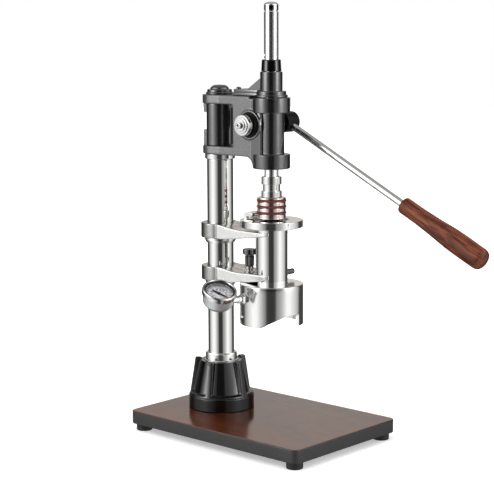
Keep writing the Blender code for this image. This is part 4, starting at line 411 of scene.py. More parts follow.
def skin(body: Field, low: Sequence[float], high: Sequence[float], step: float, passes: int = 3) -> Shell:
    """The surface where a distance is zero.

    Space is cut into cells. A cell whose corners differ in sign gets a point at the mean of where its
    edges cross zero, and each crossed edge gets the quad of its four cells. Then each point p moves
    to p - d g / |g|^2, where d is the distance and g its slope, a few times.

    Args:
        body: The distance at x, y, z.
        low: The lowest corner of the space.
        high: The highest corner.
        step: The cells' size.
        passes: How often the points are moved.

    Returns:
        The closed surface.
    """
    low, high = np.asarray(low, float), np.asarray(high, float)
    counts = np.ceil((high - low) / step).astype(int) + 1
    lines = [low[i] + step * np.arange(counts[i]) for i in range(3)]
    value = body(*np.meshgrid(*lines, indexing="ij"))
    inner = value < 0
    offsets = np.array([(i, j, k) for i in (0, 1) for j in (0, 1) for k in (0, 1)])
    shape = np.array(value.shape) - 1
    corner_in = np.stack([inner[i:i + shape[0], j:j + shape[1], k:k + shape[2]] for i, j, k in offsets])
    mixed = corner_in.any(0) & ~corner_in.all(0)
    cells = np.argwhere(mixed)
    number = np.full(mixed.shape, -1)
    number[mixed] = np.arange(len(cells))
    corner = np.stack([value[tuple((cells + offset).T)] for offset in offsets], 1)
    total, hits = np.zeros((len(cells), 3)), np.zeros((len(cells), 1))
    for first in range(8):
        for second in range(first + 1, 8):
            if np.abs(offsets[first] - offsets[second]).sum() == 1:
                one, two = corner[:, first], corner[:, second]
                crossed = (one < 0) != (two < 0)
                share = np.where(crossed, one / np.where(crossed, one - two, 1.0), 0.0)[:, None]
                point = offsets[first] + share * (offsets[second] - offsets[first])
                total += np.where(crossed[:, None], point, 0.0)
                hits += crossed[:, None]
    points = low + step * (cells + total / hits)
    h = step * 0.1
    for _ in range(passes):
        x, y, z = points.T
        here = body(x, y, z)
        slope = np.stack([
            body(x + h, y, z) - body(x - h, y, z),
            body(x, y + h, z) - body(x, y - h, z),
            body(x, y, z + h) - body(x, y, z - h),
        ], 1) / (2 * h)
        size = np.maximum((slope**2).sum(1), 0.05)
        move = np.clip(here / size, -step / 2, step / 2)
        points = points - slope * move[:, None]
    faces = []
    for way in range(3):
        one, two = (way + 1) % 3, (way + 2) % 3
        ahead = np.take(inner, np.arange(1, counts[way]), way)
        here = np.take(inner, np.arange(0, counts[way] - 1), way)
        edges = np.argwhere(here != ahead)
        fits = (edges[:, one] > 0) & (edges[:, two] > 0)
        fits &= (edges[:, one] < shape[one]) & (edges[:, two] < shape[two])
        edges = edges[fits]
        out = here[tuple(edges.T)]
        quad = []
        for back_one, back_two in ((1, 1), (0, 1), (0, 0), (1, 0)):
            cell = edges.copy()
            cell[:, one] -= back_one
            cell[:, two] -= back_two
            quad.append(number[tuple(cell.T)])
        quad = np.stack(quad, 1)
        quad[~out] = quad[~out][:, ::-1]
        faces.append(quad)
    return Shell(points, np.concatenate(faces).tolist())


# Shader maths


@dataclass(frozen=True)
class Grain:
    """A fractal noise pattern.

    Args:
        scale: Its fineness, in waves a metre before it is stretched.
        detail: Its finer layers.
        rough: The strength of each finer layer.
        warp: How far it bends itself.
        stretch: Factor along each axis.
    """

    scale: float
    detail: float = 2.0
    rough: float = 0.5
    warp: float = 0.0
    stretch: Triple = ONE


def operator(operation: str, flipped: bool = False) -> Callable[..., "Wire"]:
    """A method that adds one Math node.

    Args:
        operation: What the node works out.
        flipped: Whether the other value comes first.

    Returns:
        The method.
    """

    def method(wire: "Wire", *others: object) -> "Wire":
        """The operation on this wire and the others."""
        values = [*others, wire] if flipped else [wire, *others]
        return wire.graph.node("ShaderNodeMath", {"operation": operation}, values)

    return method


class Wire:
    """An output socket that takes part in sums, so that an expression adds its Math nodes."""

    __add__ = __radd__ = operator("ADD")
    __mul__ = __rmul__ = operator("MULTIPLY")
    __sub__ = operator("SUBTRACT")
    __rsub__ = operator("SUBTRACT", flipped=True)
    __truediv__ = operator("DIVIDE")
    __pow__ = operator("POWER")
    __abs__ = operator("ABSOLUTE")
    over = operator("GREATER_THAN")
    top = operator("MAXIMUM")
    fraction = operator("FRACT")
    heading = operator("ARCTAN2")

    def __init__(self, graph: "Graph", socket: bpy.types.NodeSocket) -> None:
        """Keeps the socket and the graph that new nodes go to."""
        self.graph = graph
        self.socket = socket

    def hypot(self, other: "Wire") -> "Wire":
        """The length of two sides at a right angle."""
        return (self * self + other * other) ** 0.5

    def within(self, low: float, high: float) -> "Wire":
        """1 between the two, else 0."""
        return self.over(low) * (1 - self.over(high))

    def ramp(self, low: float, high: float) -> "Wire":
        """A smooth step from 0 at low to 1 at high."""
        settings = {"interpolation_type": "SMOOTHSTEP"}
        return self.graph.node("ShaderNodeMapRange", settings, [self, low, high, 0.0, 1.0])


class Graph:
    """A node tree that is filled by expressions."""

    def __init__(self, tree: bpy.types.NodeTree) -> None:
        """Empties the tree."""
        self.tree = tree
        tree.nodes.clear()

    def node(
        self,
        kind: str,
        settings: dict[str, object] | None = None,
        sockets: dict | Sequence | None = None,
        output: int | str = 0,
    ) -> Wire:
        """Adds one node.

        Args:
            kind: The node's type.
            settings: Its properties. "stops" fills a colour ramp with (place, colour) pairs.
            sockets: Values or wires for its inputs, by name or in order.
            output: The output to return.

        Returns:
            The chosen output.
        """
        made = self.tree.nodes.new(kind)
        for name, value in (settings or {}).items():
            if name == "stops":
                elements = made.color_ramp.elements
                for number, (place, colour) in enumerate(value):
                    element = elements[number] if number < 2 else elements.new(place)
                    element.position = place
                    element.color = (*colour, 1.0)
            else:
                setattr(made, name, value)
        pairs = sockets.items() if isinstance(sockets, dict) else enumerate(sockets or [])
        for key, value in pairs:
            socket = made.inputs[key]
            if isinstance(value, Wire):
                self.tree.links.new(value.socket, socket)
            elif socket.type == "RGBA" and len(value) == 3:
                socket.default_value = (*value, 1.0)
            else:
                socket.default_value = value
        return Wire(self, made.outputs[output])

    def place(self, scale: Triple = ONE, turn: Triple = ZERO, move: Triple = ZERO) -> Wire:
        """Object coordinates moved, turned and then scaled.

        Args:
            scale: Factor along each axis.
            turn: Angles about each axis.
            move: What is taken off the coordinates first.

        Returns:
            The coordinates.
        """
        raw = self.node("ShaderNodeTexCoord", output="Object")
        moved = self.node("ShaderNodeVectorMath", {"operation": "SUBTRACT"}, [raw, move])
        sockets = {"Vector": moved, "Rotation": turn}
        swung = self.node("ShaderNodeMapping", {"vector_type": "POINT"}, sockets)
        return self.node("ShaderNodeVectorMath", {"operation": "MULTIPLY"}, [swung, scale])

    def parts(self, vector: Wire) -> tuple[Wire, Wire, Wire]:
        """The three numbers of a vector."""
        split = self.node("ShaderNodeSeparateXYZ", sockets=[vector]).socket.node
        return tuple(Wire(self, split.outputs[number]) for number in range(3))

    def noise(self, grain: Grain, turn: Triple = ZERO, move: Triple = ZERO) -> Wire:
        """A pattern from 0 to 1 on the piece.

        Args:
            grain: The pattern.
            turn: Angles about each axis.
            move: What is taken off the coordinates first.

        Returns:
            The pattern's value.
        """
        sockets = {
            "Vector": self.place(grain.stretch, turn, move), "Scale": grain.scale, "Detail": grain.detail,
            "Roughness": grain.rough, "Distortion": grain.warp,
        }
        return self.node("ShaderNodeTexNoise", sockets=sockets)

    def ray(self, kind: str) -> Wire:
        """1 for rays of a kind, else 0."""
        return self.node("ShaderNodeLightPath", output=kind)

    def mix(self, factor: object, first: object, second: object) -> Wire:
        """A colour between two."""
        return self.node("ShaderNodeMix", {"data_type": "RGBA"}, {0: factor, 6: first, 7: second}, 2)

    def bump(self, height: Wire, depth: float, normal: Wire | None = None) -> Wire:
        """A normal from a relief.

        Args:
            height: The relief, from 0 to 1.
            depth: How many metres 1 stands for.
            normal: The normal that the relief is laid on.

        Returns:
            The new normal.
        """
        sockets = {"Strength": 1.0, "Distance": depth, "Height": height}
        if normal is not None:
            sockets["Normal"] = normal
        return self.node("ShaderNodeBump", sockets=sockets)

    def finish(self, surface: Wire, kind: str) -> None:
        """Links a shader to a new output node of a kind."""
        output = self.tree.nodes.new(kind)
        self.tree.links.new(surface.socket, output.inputs["Surface"])


# Finishes


def shade(colour: Colour, factor: float, lift: float = 0.0) -> Colour:
    """A colour times a factor, plus a lift."""
    return tuple(part * factor + lift for part in colour)


@dataclass(frozen=True)
class Finish:
    """What every finish has: a name, a colour and a roughness."""

    name: str
    colour: Colour = (0.5, 0.5, 0.5)
    roughness: float = 0.5

    def sockets(self, graph: Graph) -> dict[str, object]:
        """Values and wires for the surface shader, by the names of its inputs."""
        return {"Base Color": self.colour, "Roughness": self.roughness}

    def material(self) -> bpy.types.Material:
        """The finish as a material, made once.

        Returns:
            The material.
        """
        known = bpy.data.materials.get(self.name)
        if known is not None:
            return known
        made = bpy.data.materials.new(self.name)
        made.use_nodes = True
        graph = Graph(made.node_tree)
        shader = graph.node("ShaderNodeBsdfPrincipled", sockets=self.sockets(graph))
        graph.finish(shader, "ShaderNodeOutputMaterial")
        return made


@dataclass(frozen=True)
class PolishedSteel(Finish):
    """Bright turned steel with faint smears and fine tool lines across its axis."""

    smears: Grain = Grain(45.0, 4.0, 0.6)
    lines: Grain = Grain(1.0, 1.0, stretch=(60.0, 60.0, 5000.0))
    smear: float = 0.05
    depth: float = 0.000002

    def sockets(self, graph: Graph) -> dict[str, object]:
        """Smears change the roughness and tool lines the normal.

        Args:
            graph: The material's nodes.

        Returns:
            The shader's inputs.
        """
        cloud = graph.noise(self.smears)
        return {
            "Base Color": graph.mix(cloud, shade(self.colour, 0.97), shade(self.colour, 1.03)),
            "Metallic": 1.0,
            "Roughness": cloud.ramp(0.35, 0.8) * self.smear + self.roughness,
            "Normal": graph.bump(graph.noise(self.lines), self.depth),
        }


@dataclass(frozen=True)
class CastSteel(Finish):
    """Blasted and tumbled casting: fine stipple, soft sheen, paler on its high spots."""

    stipple: Grain = Grain(1500.0, 3.0, 0.65)
    patches: Grain = Grain(120.0, 3.0)
    rough: float = 0.12
    depth: float = 0.00008

    def sockets(self, graph: Graph) -> dict[str, object]:
        """Stipple drives colour, roughness and normal together.

        Args:
            graph: The material's nodes.

        Returns:
            The shader's inputs.
        """
        grain, cloud = graph.noise(self.stipple), graph.noise(self.patches)
        high = (grain + cloud * 0.5).ramp(0.45, 1.0)
        return {
            "Base Color": graph.mix(high, shade(self.colour, 0.86), self.colour),
            "Metallic": 1.0,
            "Roughness": grain * self.rough + self.roughness,
            "Normal": graph.bump(grain, self.depth),
        }


@dataclass(frozen=True)
class ArmCast(CastSteel):
    """The arms' casting, with painted shade: darker and streaked on its flat top, and darker round the
    column.

    Args:
        start: Where along Y the painted shade round the column begins.
        border: How wide its border is.
        skin: The share of the colour that the painted shade keeps.
        pale: The share that the streaks come up to.
        flat: How far upwards the flat top faces, from where it begins to where it is full.
        streaks: Their pattern.
    """

    start: float = COLUMN_Y - 0.013
    border: float = 0.0006
    # The flat top and the ring round the column are painted shade, at this share of the colour.
    skin: float = 0.48
    pale: float = 0.72
    flat: Band = (0.88, 0.97)
    streaks: Grain = Grain(260.0, 3.0, 0.6, stretch=(1.0, 0.25, 1.0))

    def sockets(self, graph: Graph) -> dict[str, object]:
        """The casting's own sockets, with a base darkened by painted shade behind the start and on top.

        Args:
            graph: The material's nodes.

        Returns:
            The shader's inputs.
        """
        made = super().sockets(graph)
        behind = graph.parts(graph.place())[1].ramp(self.start, self.start + self.border)
        facing = graph.node("ShaderNodeAttribute", {"attribute_name": UPWARD}, output="Fac")
        streak = graph.noise(self.streaks).ramp(0.4, 0.6)
        # Painted shade: the darker colour on the flat top and round the column.
        skin = shade(self.colour, self.skin)
        flat = graph.mix(streak, skin, shade(self.colour, self.pale))
        side = graph.mix(behind, made["Base Color"], skin)
        made["Base Color"] = graph.mix(facing.ramp(*self.flat), side, flat)
        return made


@dataclass(frozen=True)
class Paint(Finish):
    """Paint or powder coat on metal: a dark ground under a film with some texture.

    Args:
        film: How strongly the film reflects, as a refractive index.
        peel: The fineness of its texture.
        depth: The depth of its texture.
        worn: How much rougher it gets in patches.
        patches: The patches' pattern.
    """

    film: float = 1.5
    peel: float = 700.0
    depth: float = 0.00002
    worn: float = 0.04
    patches: Grain = Grain(60.0, 4.0, 0.6)

    def sockets(self, graph: Graph) -> dict[str, object]:
        """Texture in the normal, and small changes of gloss and shade.

        Args:
            graph: The material's nodes.

        Returns:
            The shader's inputs.
        """
        cloud = graph.noise(self.patches)
        return {
            "Base Color": graph.mix(cloud.ramp(0.4, 0.8), self.colour, shade(self.colour, 1.5, 0.0008)),
            "Roughness": cloud.ramp(0.3, 0.8) * self.worn + self.roughness,
            "IOR": self.film,
            "Normal": graph.bump(graph.noise(Grain(self.peel)), self.depth),
        }


@dataclass(frozen=True)
class WebPaint(Paint):
    """The same coat, smooth on the ram's housing and blasted on the web and knuckles behind it.

    Args:
        start: Where along Y the blasted part begins.
        border: How wide its border is.
        blasted: How much rougher it is.
        pit: The depth of its pits.
        pale: The colour of its high spots.
        dull: Their colour's share in the pits.
        pits: Their pattern.
    """

    start: float = RAM_Y + 0.0148
    border: float = 0.0008
    blasted: float = 0.1
    pit: float = 0.00012
    pale: Colour = (0.05, 0.05, 0.051)
    dull: float = 0.05
    pits: Grain = Grain(620.0, 3.0, 0.7)

    def sockets(self, graph: Graph) -> dict[str, object]:
        """The coat's own sockets, rougher and paler behind the start.

        Args:
            graph: The material's nodes.

        Returns:
            The shader's inputs.
        """
        made = super().sockets(graph)
        behind = graph.parts(graph.place())[1].ramp(self.start, self.start + self.border)
        grain = graph.noise(self.pits)
        pale = graph.mix(grain.ramp(0.35, 0.65), shade(self.pale, self.dull), self.pale)
        made["Base Color"] = graph.mix(behind, made["Base Color"], pale)
        made["Roughness"] = made["Roughness"] + behind * (grain * 0.2 + self.blasted)
        made["Normal"] = graph.bump(grain * behind, self.pit, made["Normal"])
        return made


@dataclass(frozen=True)
class Moulded(Finish):
    """Rubber, plastic or silicone with a fine grain."""

    grain: float = 1800.0
    depth: float = 0.00002
    patches: Grain = Grain(150.0, 3.0)

    def sockets(self, graph: Graph) -> dict[str, object]:
        """Grain in the normal and slight mottling in the colour.

        Args:
            graph: The material's nodes.

        Returns:
            The shader's inputs.
        """
        fine, cloud = graph.noise(Grain(self.grain)), graph.noise(self.patches).ramp(0.35, 0.75)
        return {
            "Base Color": graph.mix(cloud, self.colour, shade(self.colour, 1.25, 0.004)),
            "Roughness": fine * 0.08 + self.roughness,
            "Normal": graph.bump(fine, self.depth),
        }


@dataclass(frozen=True)
class BoardWood(Finish):
    """Dark oiled veneer with long grain, and a plain painted band round the edge.

    Args:
        dark: The veneer's darker brown.
        band: The painted band's colour.
        rim: From where to where up the edge the band gives way to veneer.
        film: How strongly the surface reflects, as a refractive index.
        dull: How much rougher the band is.
        streaks, figure, pores: The veneer's patterns.
    """

    dark: Colour = (0.024, 0.007, 0.003)
    band: Colour = (0.015, 0.015, 0.0145)
    rim: Band = (BOARD_TOP - 0.0011, BOARD_TOP - 0.0006)
    film: float = 1.6
    dull: float = 0.45
    depth: float = 0.00004
    streaks: Grain = Grain(1.0, 6.0, 0.62, 0.6, (90.0, 5.0, 90.0))
    figure: Grain = Grain(1.0, 3.0, 0.5, 1.2, (14.0, 3.2, 14.0))
    pores: Grain = Grain(1.0, stretch=(1300.0, 45.0, 1300.0))

    def sockets(self, graph: Graph) -> dict[str, object]:
        """Streaks along the grain mix two browns on top, and the band's colour holds below the edge.

        Args:
            graph: The material's nodes.

        Returns:
            The shader's inputs.
        """
        streak, pore = graph.noise(self.streaks), graph.noise(self.pores).ramp(0.6, 0.72)
        share = (streak * 0.65 + graph.noise(self.figure) * 0.55).ramp(0.38, 0.8)
        wood = graph.mix(share, self.dark, self.colour)
        wood = graph.mix(pore * 0.45, wood, shade(self.dark, 0.5))
        is_top = graph.parts(graph.place())[2].ramp(*self.rim)
        return {
            "Base Color": graph.mix(is_top, self.band, wood),
            "Roughness": self.roughness + share * 0.06 + (1 - is_top) * self.dull,
            "IOR": self.film,
            "Normal": graph.bump(streak * 0.4 - pore, self.depth),
        }


@dataclass(frozen=True)
class HandleWood(Finish):
    """Turned reddish wood under satin lacquer, its grain along the handle."""

    dark: Colour = (0.045, 0.01, 0.006)
    middle: Triple = (0.045, PINION[1], PINION[2])
    film: float = 1.28
    lacquer: float = 0.1
    lacquer_rough: float = 0.15
    depth: float = 0.00003
    lines: Grain = Grain(1.0, 5.0, 0.6, 0.8, (420.0, 22.0, 420.0))
    figure: Grain = Grain(1.0, 3.0, 0.5, 2.2, (110.0, 16.0, 110.0))
    pores: Grain = Grain(1.0, 1.0, stretch=(1500.0, 60.0, 1500.0))

    def sockets(self, graph: Graph) -> dict[str, object]:
        """Grain lines stretched along the handle, with darker pores.

        Args:
            graph: The material's nodes.

        Returns:
            The shader's inputs.
        """
        lines, figure, pores = (
            graph.noise(grain, (-DROOP, 0.0, 0.0), self.middle)
            for grain in (self.lines, self.figure, self.pores)
        )
        pore = pores.ramp(0.6, 0.7)
        share = (lines * 0.6 + figure * 0.6).ramp(0.46, 0.74)
        wood = graph.mix(share, self.dark, self.colour)
        return {
            "Base Color": graph.mix(pore * 0.5, wood, shade(self.dark, 0.5)),
            "Roughness": self.roughness + share * 0.08,
            "Normal": graph.bump(lines * 0.4 - pore, self.depth),
            "IOR": self.film,
            "Coat Weight": self.lacquer,
            "Coat Roughness": self.lacquer_rough,
        }


@dataclass(frozen=True)
class Flat(Finish):
    """A finish on a round flat piece, drawn from its middle.

    Args:
        middle: The piece's middle.
        turn: Angles that lay its plane on the first two axes.
    """

    middle: Triple = ZERO
    turn: Triple = ZERO

    def plane(self, graph: Graph) -> tuple[Wire, Wire]:
        """Distance from the middle, and angle about it from -1 to 1.

        Args:
            graph: The material's nodes.

        Returns:
            The two.
        """
        x, y, _ = graph.parts(graph.place(turn=self.turn, move=self.middle))
        return x.hypot(y), x.heading(y) / math.pi


@dataclass(frozen=True)
class Glass(Flat):
    """Clear flat glass that lets light straight through, with an opaque black ring under its rim that is a
    painted shadow of the bezel.

    Args:
        clear: The radius that stays clear.
        haze: How much of the clear glass is seen.
        film: Its refractive index.
    """

    clear: float = 0.0149
    haze: float = 0.08
    film: float = 1.5

    def sockets(self, graph: Graph) -> dict[str, object]:
        """Distance from the middle decides between open glass and the black ring of painted shadow.

        Args:
            graph: The material's nodes.

        Returns:
            The shader's inputs.
        """
        # seal is 1 on the black ring past the clear radius, a painted shadow of the bezel's inner wall.
        seal = self.plane(graph)[0].over(self.clear)
        return {**super().sockets(graph), "Alpha": seal * (1 - self.haze) + self.haze, "IOR": self.film}


@dataclass(frozen=True)
class DialCard(Flat):
    """A printed dial: pale ground, ticks round its rim, blurred figures and a coloured working band.

    Args:
        size: The dial's radius. Every other distance is a share of it.
        ink: The print's colour.
        band: The working band's colour.
        scale: Half the scale's angle, as a share of half a turn, from its edge's start to its end.
        small, large: Marks for each half turn.
        speckle: The ground's pattern.
    """

    size: float = 0.0165
    ink: Colour = (0.03, 0.03, 0.03)
    band: Colour = (0.1, 0.16, 0.12)
    scale: Band = (0.749, 0.752)
    small: float = 50 / 1.5
    large: float = 10 / 1.5
    speckle: Grain = Grain(260.0, 3.0)

    def sockets(self, graph: Graph) -> dict[str, object]:
        """Angle and distance from the middle decide where ink lies.

        Args:
            graph: The material's nodes.

        Returns:
            The shader's inputs.
        """
        distance, angle = self.plane(graph)
        reach = distance / self.size
        off_small, off_large = (
            abs((angle * count + 100.0).fraction() - 0.5) for count in (self.small, self.large)
        )
        ticks = reach.within(0.8, 0.9) * off_small.over(0.4)
        longer = reach.within(0.72, 0.9) * off_large.over(0.462)
        figures = reach.within(0.42, 0.57) * off_large.over(0.3)
        marks = ticks.top(longer).top(reach.within(0.905, 0.93)).top(figures)
        inked = marks * (1 - abs(angle).ramp(*self.scale))
        pale = graph.noise(self.speckle).ramp(0.35, 0.65)
        ground = graph.mix(pale, shade(self.colour, 0.72), self.colour)
        ground = graph.mix(reach.within(0.64, 0.7) * angle.within(0.05, 0.42), ground, self.band)
        return {"Base Color": graph.mix(inked, ground, self.ink), "Roughness": self.roughness}


BLACK_COAT = {"colour": (0.0022, 0.0022, 0.0024), "roughness": 0.12, "peel": 1500.0, "depth": 0.00001}


class Stock(Enum):
    """The finishes that the machine is made of."""

    WALNUT = BoardWood("walnut", (0.094, 0.023, 0.008), 0.12)
    PAD = Moulded("pad_rubber_finish", (0.01, 0.01, 0.01), 0.62)
    GLOSS = Paint("gloss_paint", (0.002, 0.002, 0.0022), 0.05, film=1.6, peel=260.0, depth=0.000006)
    COAT = Paint("head_coat", film=2.35, worn=0.05, **BLACK_COAT)
    BLASTED = WebPaint("head_casting_coat", film=2.3, worn=0.05, **BLACK_COAT)
    SOFT = PolishedSteel("soft_polish", (0.86, 0.86, 0.84), 0.2)
    # The piston's pinkish tint is a painted reflection of its red seals.
    PISTON_PINK_REFLECTION = PolishedSteel("piston_steel_pink_reflection", (0.86, 0.75, 0.72), 0.055)
    POLISH = PolishedSteel("polish", (0.8, 0.8, 0.785), 0.055)
    GROUP = PolishedSteel("group_steel", (0.8, 0.8, 0.785), 0.13)
    CAST = ArmCast("cast_sheen", (0.73, 0.73, 0.71), 0.17, depth=0.00006)
    BEAD = CastSteel("screen_steel", (0.62, 0.62, 0.6), 0.3, Grain(900.0, 3.0, 0.65), depth=0.00002)
    CASE = PolishedSteel("case_steel", (0.74, 0.76, 0.77), 0.5)
    SATIN = PolishedSteel("satin_steel", (0.66, 0.66, 0.65), 0.16)
    DARK = PolishedSteel("dark_steel_finish", (0.16, 0.16, 0.165), 0.22)
    SCREW = PolishedSteel("screw_steel", (0.55, 0.55, 0.54), 0.16)
    BRONZE = PolishedSteel("bearing_bronze", (0.52, 0.33, 0.14), 0.25)
    PLASTIC = Paint("knob_plastic", (0.003, 0.003, 0.003), 0.08, film=2.3, peel=300.0, depth=0.000004)
    SEAL = Moulded("seal_red", (0.125, 0.018, 0.014), 0.3, grain=900.0)
    GASKET = Moulded("gasket_black", (0.02, 0.02, 0.02), 0.55)
    HUB = Paint("hub_black", (0.0035, 0.0035, 0.0038), 0.34, film=1.24, peel=900.0, depth=0.00003)
    NEEDLE = Paint("needle_enamel", (0.006, 0.006, 0.006), 0.25)
    HANDLE = HandleWood("handle_wood", (0.225, 0.062, 0.026), 0.36)


# Pieces


BODY_OF = {
    node: body for body, nodes in frame["record"]["behaviour"]["bodies"].items() for node in nodes
}
UPWARD = "upward"
CREASE = math.radians(34)
CAST_CREASE = math.radians(50)


def mesh_of(name: str, shells: Sequence[Shell], crease: float) -> bpy.types.Object:
    """Puts closed surfaces into one smooth mesh object.

    Args:
        name: The object's name.
        shells: Its surfaces.
        crease: Edges sharper than this angle stay sharp.

    Returns:
        The new object, at the origin.
    """
    mesh = bpy.data.meshes.new(name)
    points, faces, start = [], [], 0
    for shell in shells:
        points.append(shell.points)
        faces += [[start + number for number in face] for face in shell.faces]
        start += len(shell.points)
    mesh.from_pydata(np.concatenate(points).tolist(), [], faces)
    work = bmesh.new()
    work.from_mesh(mesh)
    bmesh.ops.remove_doubles(work, verts=work.verts, dist=MERGE)
    bmesh.ops.dissolve_degenerate(work, edges=work.edges, dist=MERGE)
    bmesh.ops.recalc_face_normals(work, faces=work.faces)
    work.to_mesh(mesh)
    work.free()
    mesh.shade_smooth()
    mesh.set_sharp_from_angle(angle=crease)
    made = bpy.data.objects.new(name, mesh)
    bpy.context.scene.collection.objects.link(made)
    return made


def piece(
    node: str, shells: Sequence[Shell], finish: Stock | Finish, crease: float = CREASE
) -> bpy.types.Object:
    """Makes a surface that stands for a CAD node, on the node's own body.

    Args:
        node: The node that it replaces.
        shells: Its closed surfaces.
        finish: Its finish.
        crease: Edges sharper than this angle stay sharp.

    Returns:
        The piece.
    """
    made = mesh_of(node + "_form", shells, crease)
    chosen = finish.value if isinstance(finish, Stock) else finish
    made.data.materials.append(chosen.material())
    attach(made, BODY_OF[node])
    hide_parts(node)
    LOG.info("%s: %d faces, %s", node, len(made.data.polygons), chosen.name)
    return made


def turn(node: str, finish: Stock | Finish, *shape: object, **options: object) -> None:
    """Makes a turned piece.

    Args:
        node: The node that it replaces.
        finish: Its finish.
        shape: The axis, the rows and what else turned takes, in order.
        options: What turned takes by name.
    """
    piece(node, [turned(*shape, **options)], finish)


def mark_upward(made: bpy.types.Object) -> None:
    """Keeps how far each point faces upwards, from -1 to 1, where a finish can read it.

    Args:
        made: The object whose mesh gets the attribute.
    """
    normals = np.zeros(len(made.data.vertices) * 3, np.float32)
    made.data.vertices.foreach_get("normal", normals)
    facing = made.data.attributes.new(UPWARD, "FLOAT", "POINT")
    facing.data.foreach_set("value", normals[2::3].copy())


def dress(finish: Stock, *nodes: str) -> None:
    """Gives CAD nodes that stay a better finish.

    Args:
        finish: The finish.
        nodes: The nodes.
    """
    for node in nodes:
        for slot in frame["nodes"][node].material_slots:
            slot.material = finish.value.material()
        LOG.info("%s keeps its solid, %s", node, finish.value.name)


def cut_with(body: bpy.types.Object, tool: bpy.types.Object) -> None:
    """Takes one object's volume out of another.

    Args:
        body: The object that is cut.
        tool: The object that cuts it and is then removed.
    """
    modifier = body.modifiers.new("cut", "BOOLEAN")
    modifier.operation, modifier.solver, modifier.object = "DIFFERENCE", "EXACT", tool
    bpy.context.view_layer.update()
    evaluated = body.evaluated_get(bpy.context.evaluated_depsgraph_get())
    result = bpy.data.meshes.new_from_object(evaluated)
    body.modifiers.remove(modifier)
    old = body.data
    body.data = result
    bpy.data.meshes.remove(old)
    bpy.data.objects.remove(tool, do_unlink=True)
    result.shade_smooth()
    result.set_sharp_from_angle(angle=CREASE)


# Sub-assemblies


@dataclass
class Board:
    """The wooden board and its four rubber pads."""

    width: float = 0.172
    length: float = 0.25
    corner: float = 0.008
    edge: float = 0.0009
    bottom: float = 0.008
    back: float = COLUMN_Y + 0.0635
    pad_inset: float = 0.012
    pad_radius: float = 0.009
    pad_foot: float = 0.0004
    pad_flare: float = 0.0012
    pad_edge: float = 0.0008

    def build(self) -> None:
        """The slab is a rounded rectangle carried upwards, and a pad is a turned button."""
        half, front = self.width / 2, self.back - self.length
        outline = rectangle(-half, half, front, self.back)
        slab = prism(outline, self.bottom, BOARD_TOP, ORIGIN, self.edge, self.corner, 6)
        piece("base_board", [slab], Stock.WALNUT)
        radius, top = self.pad_radius, self.bottom - GAP
        foot = [(0.0, 0.0), (radius - self.pad_foot, 0.0)]
        pad = [*foot, (radius, self.pad_flare), (radius, top), (0.0, top)]
        for depth, y in (("front", front + self.pad_inset), ("back", self.back - self.pad_inset)):
            for side, x in (("left", self.pad_inset - half), ("right", half - self.pad_inset)):
                place = Place((x, y, 0.0))
                turn(f"rubber_pad_{depth}_{side}", Stock.PAD, place, pad, self.pad_edge, steps=64)


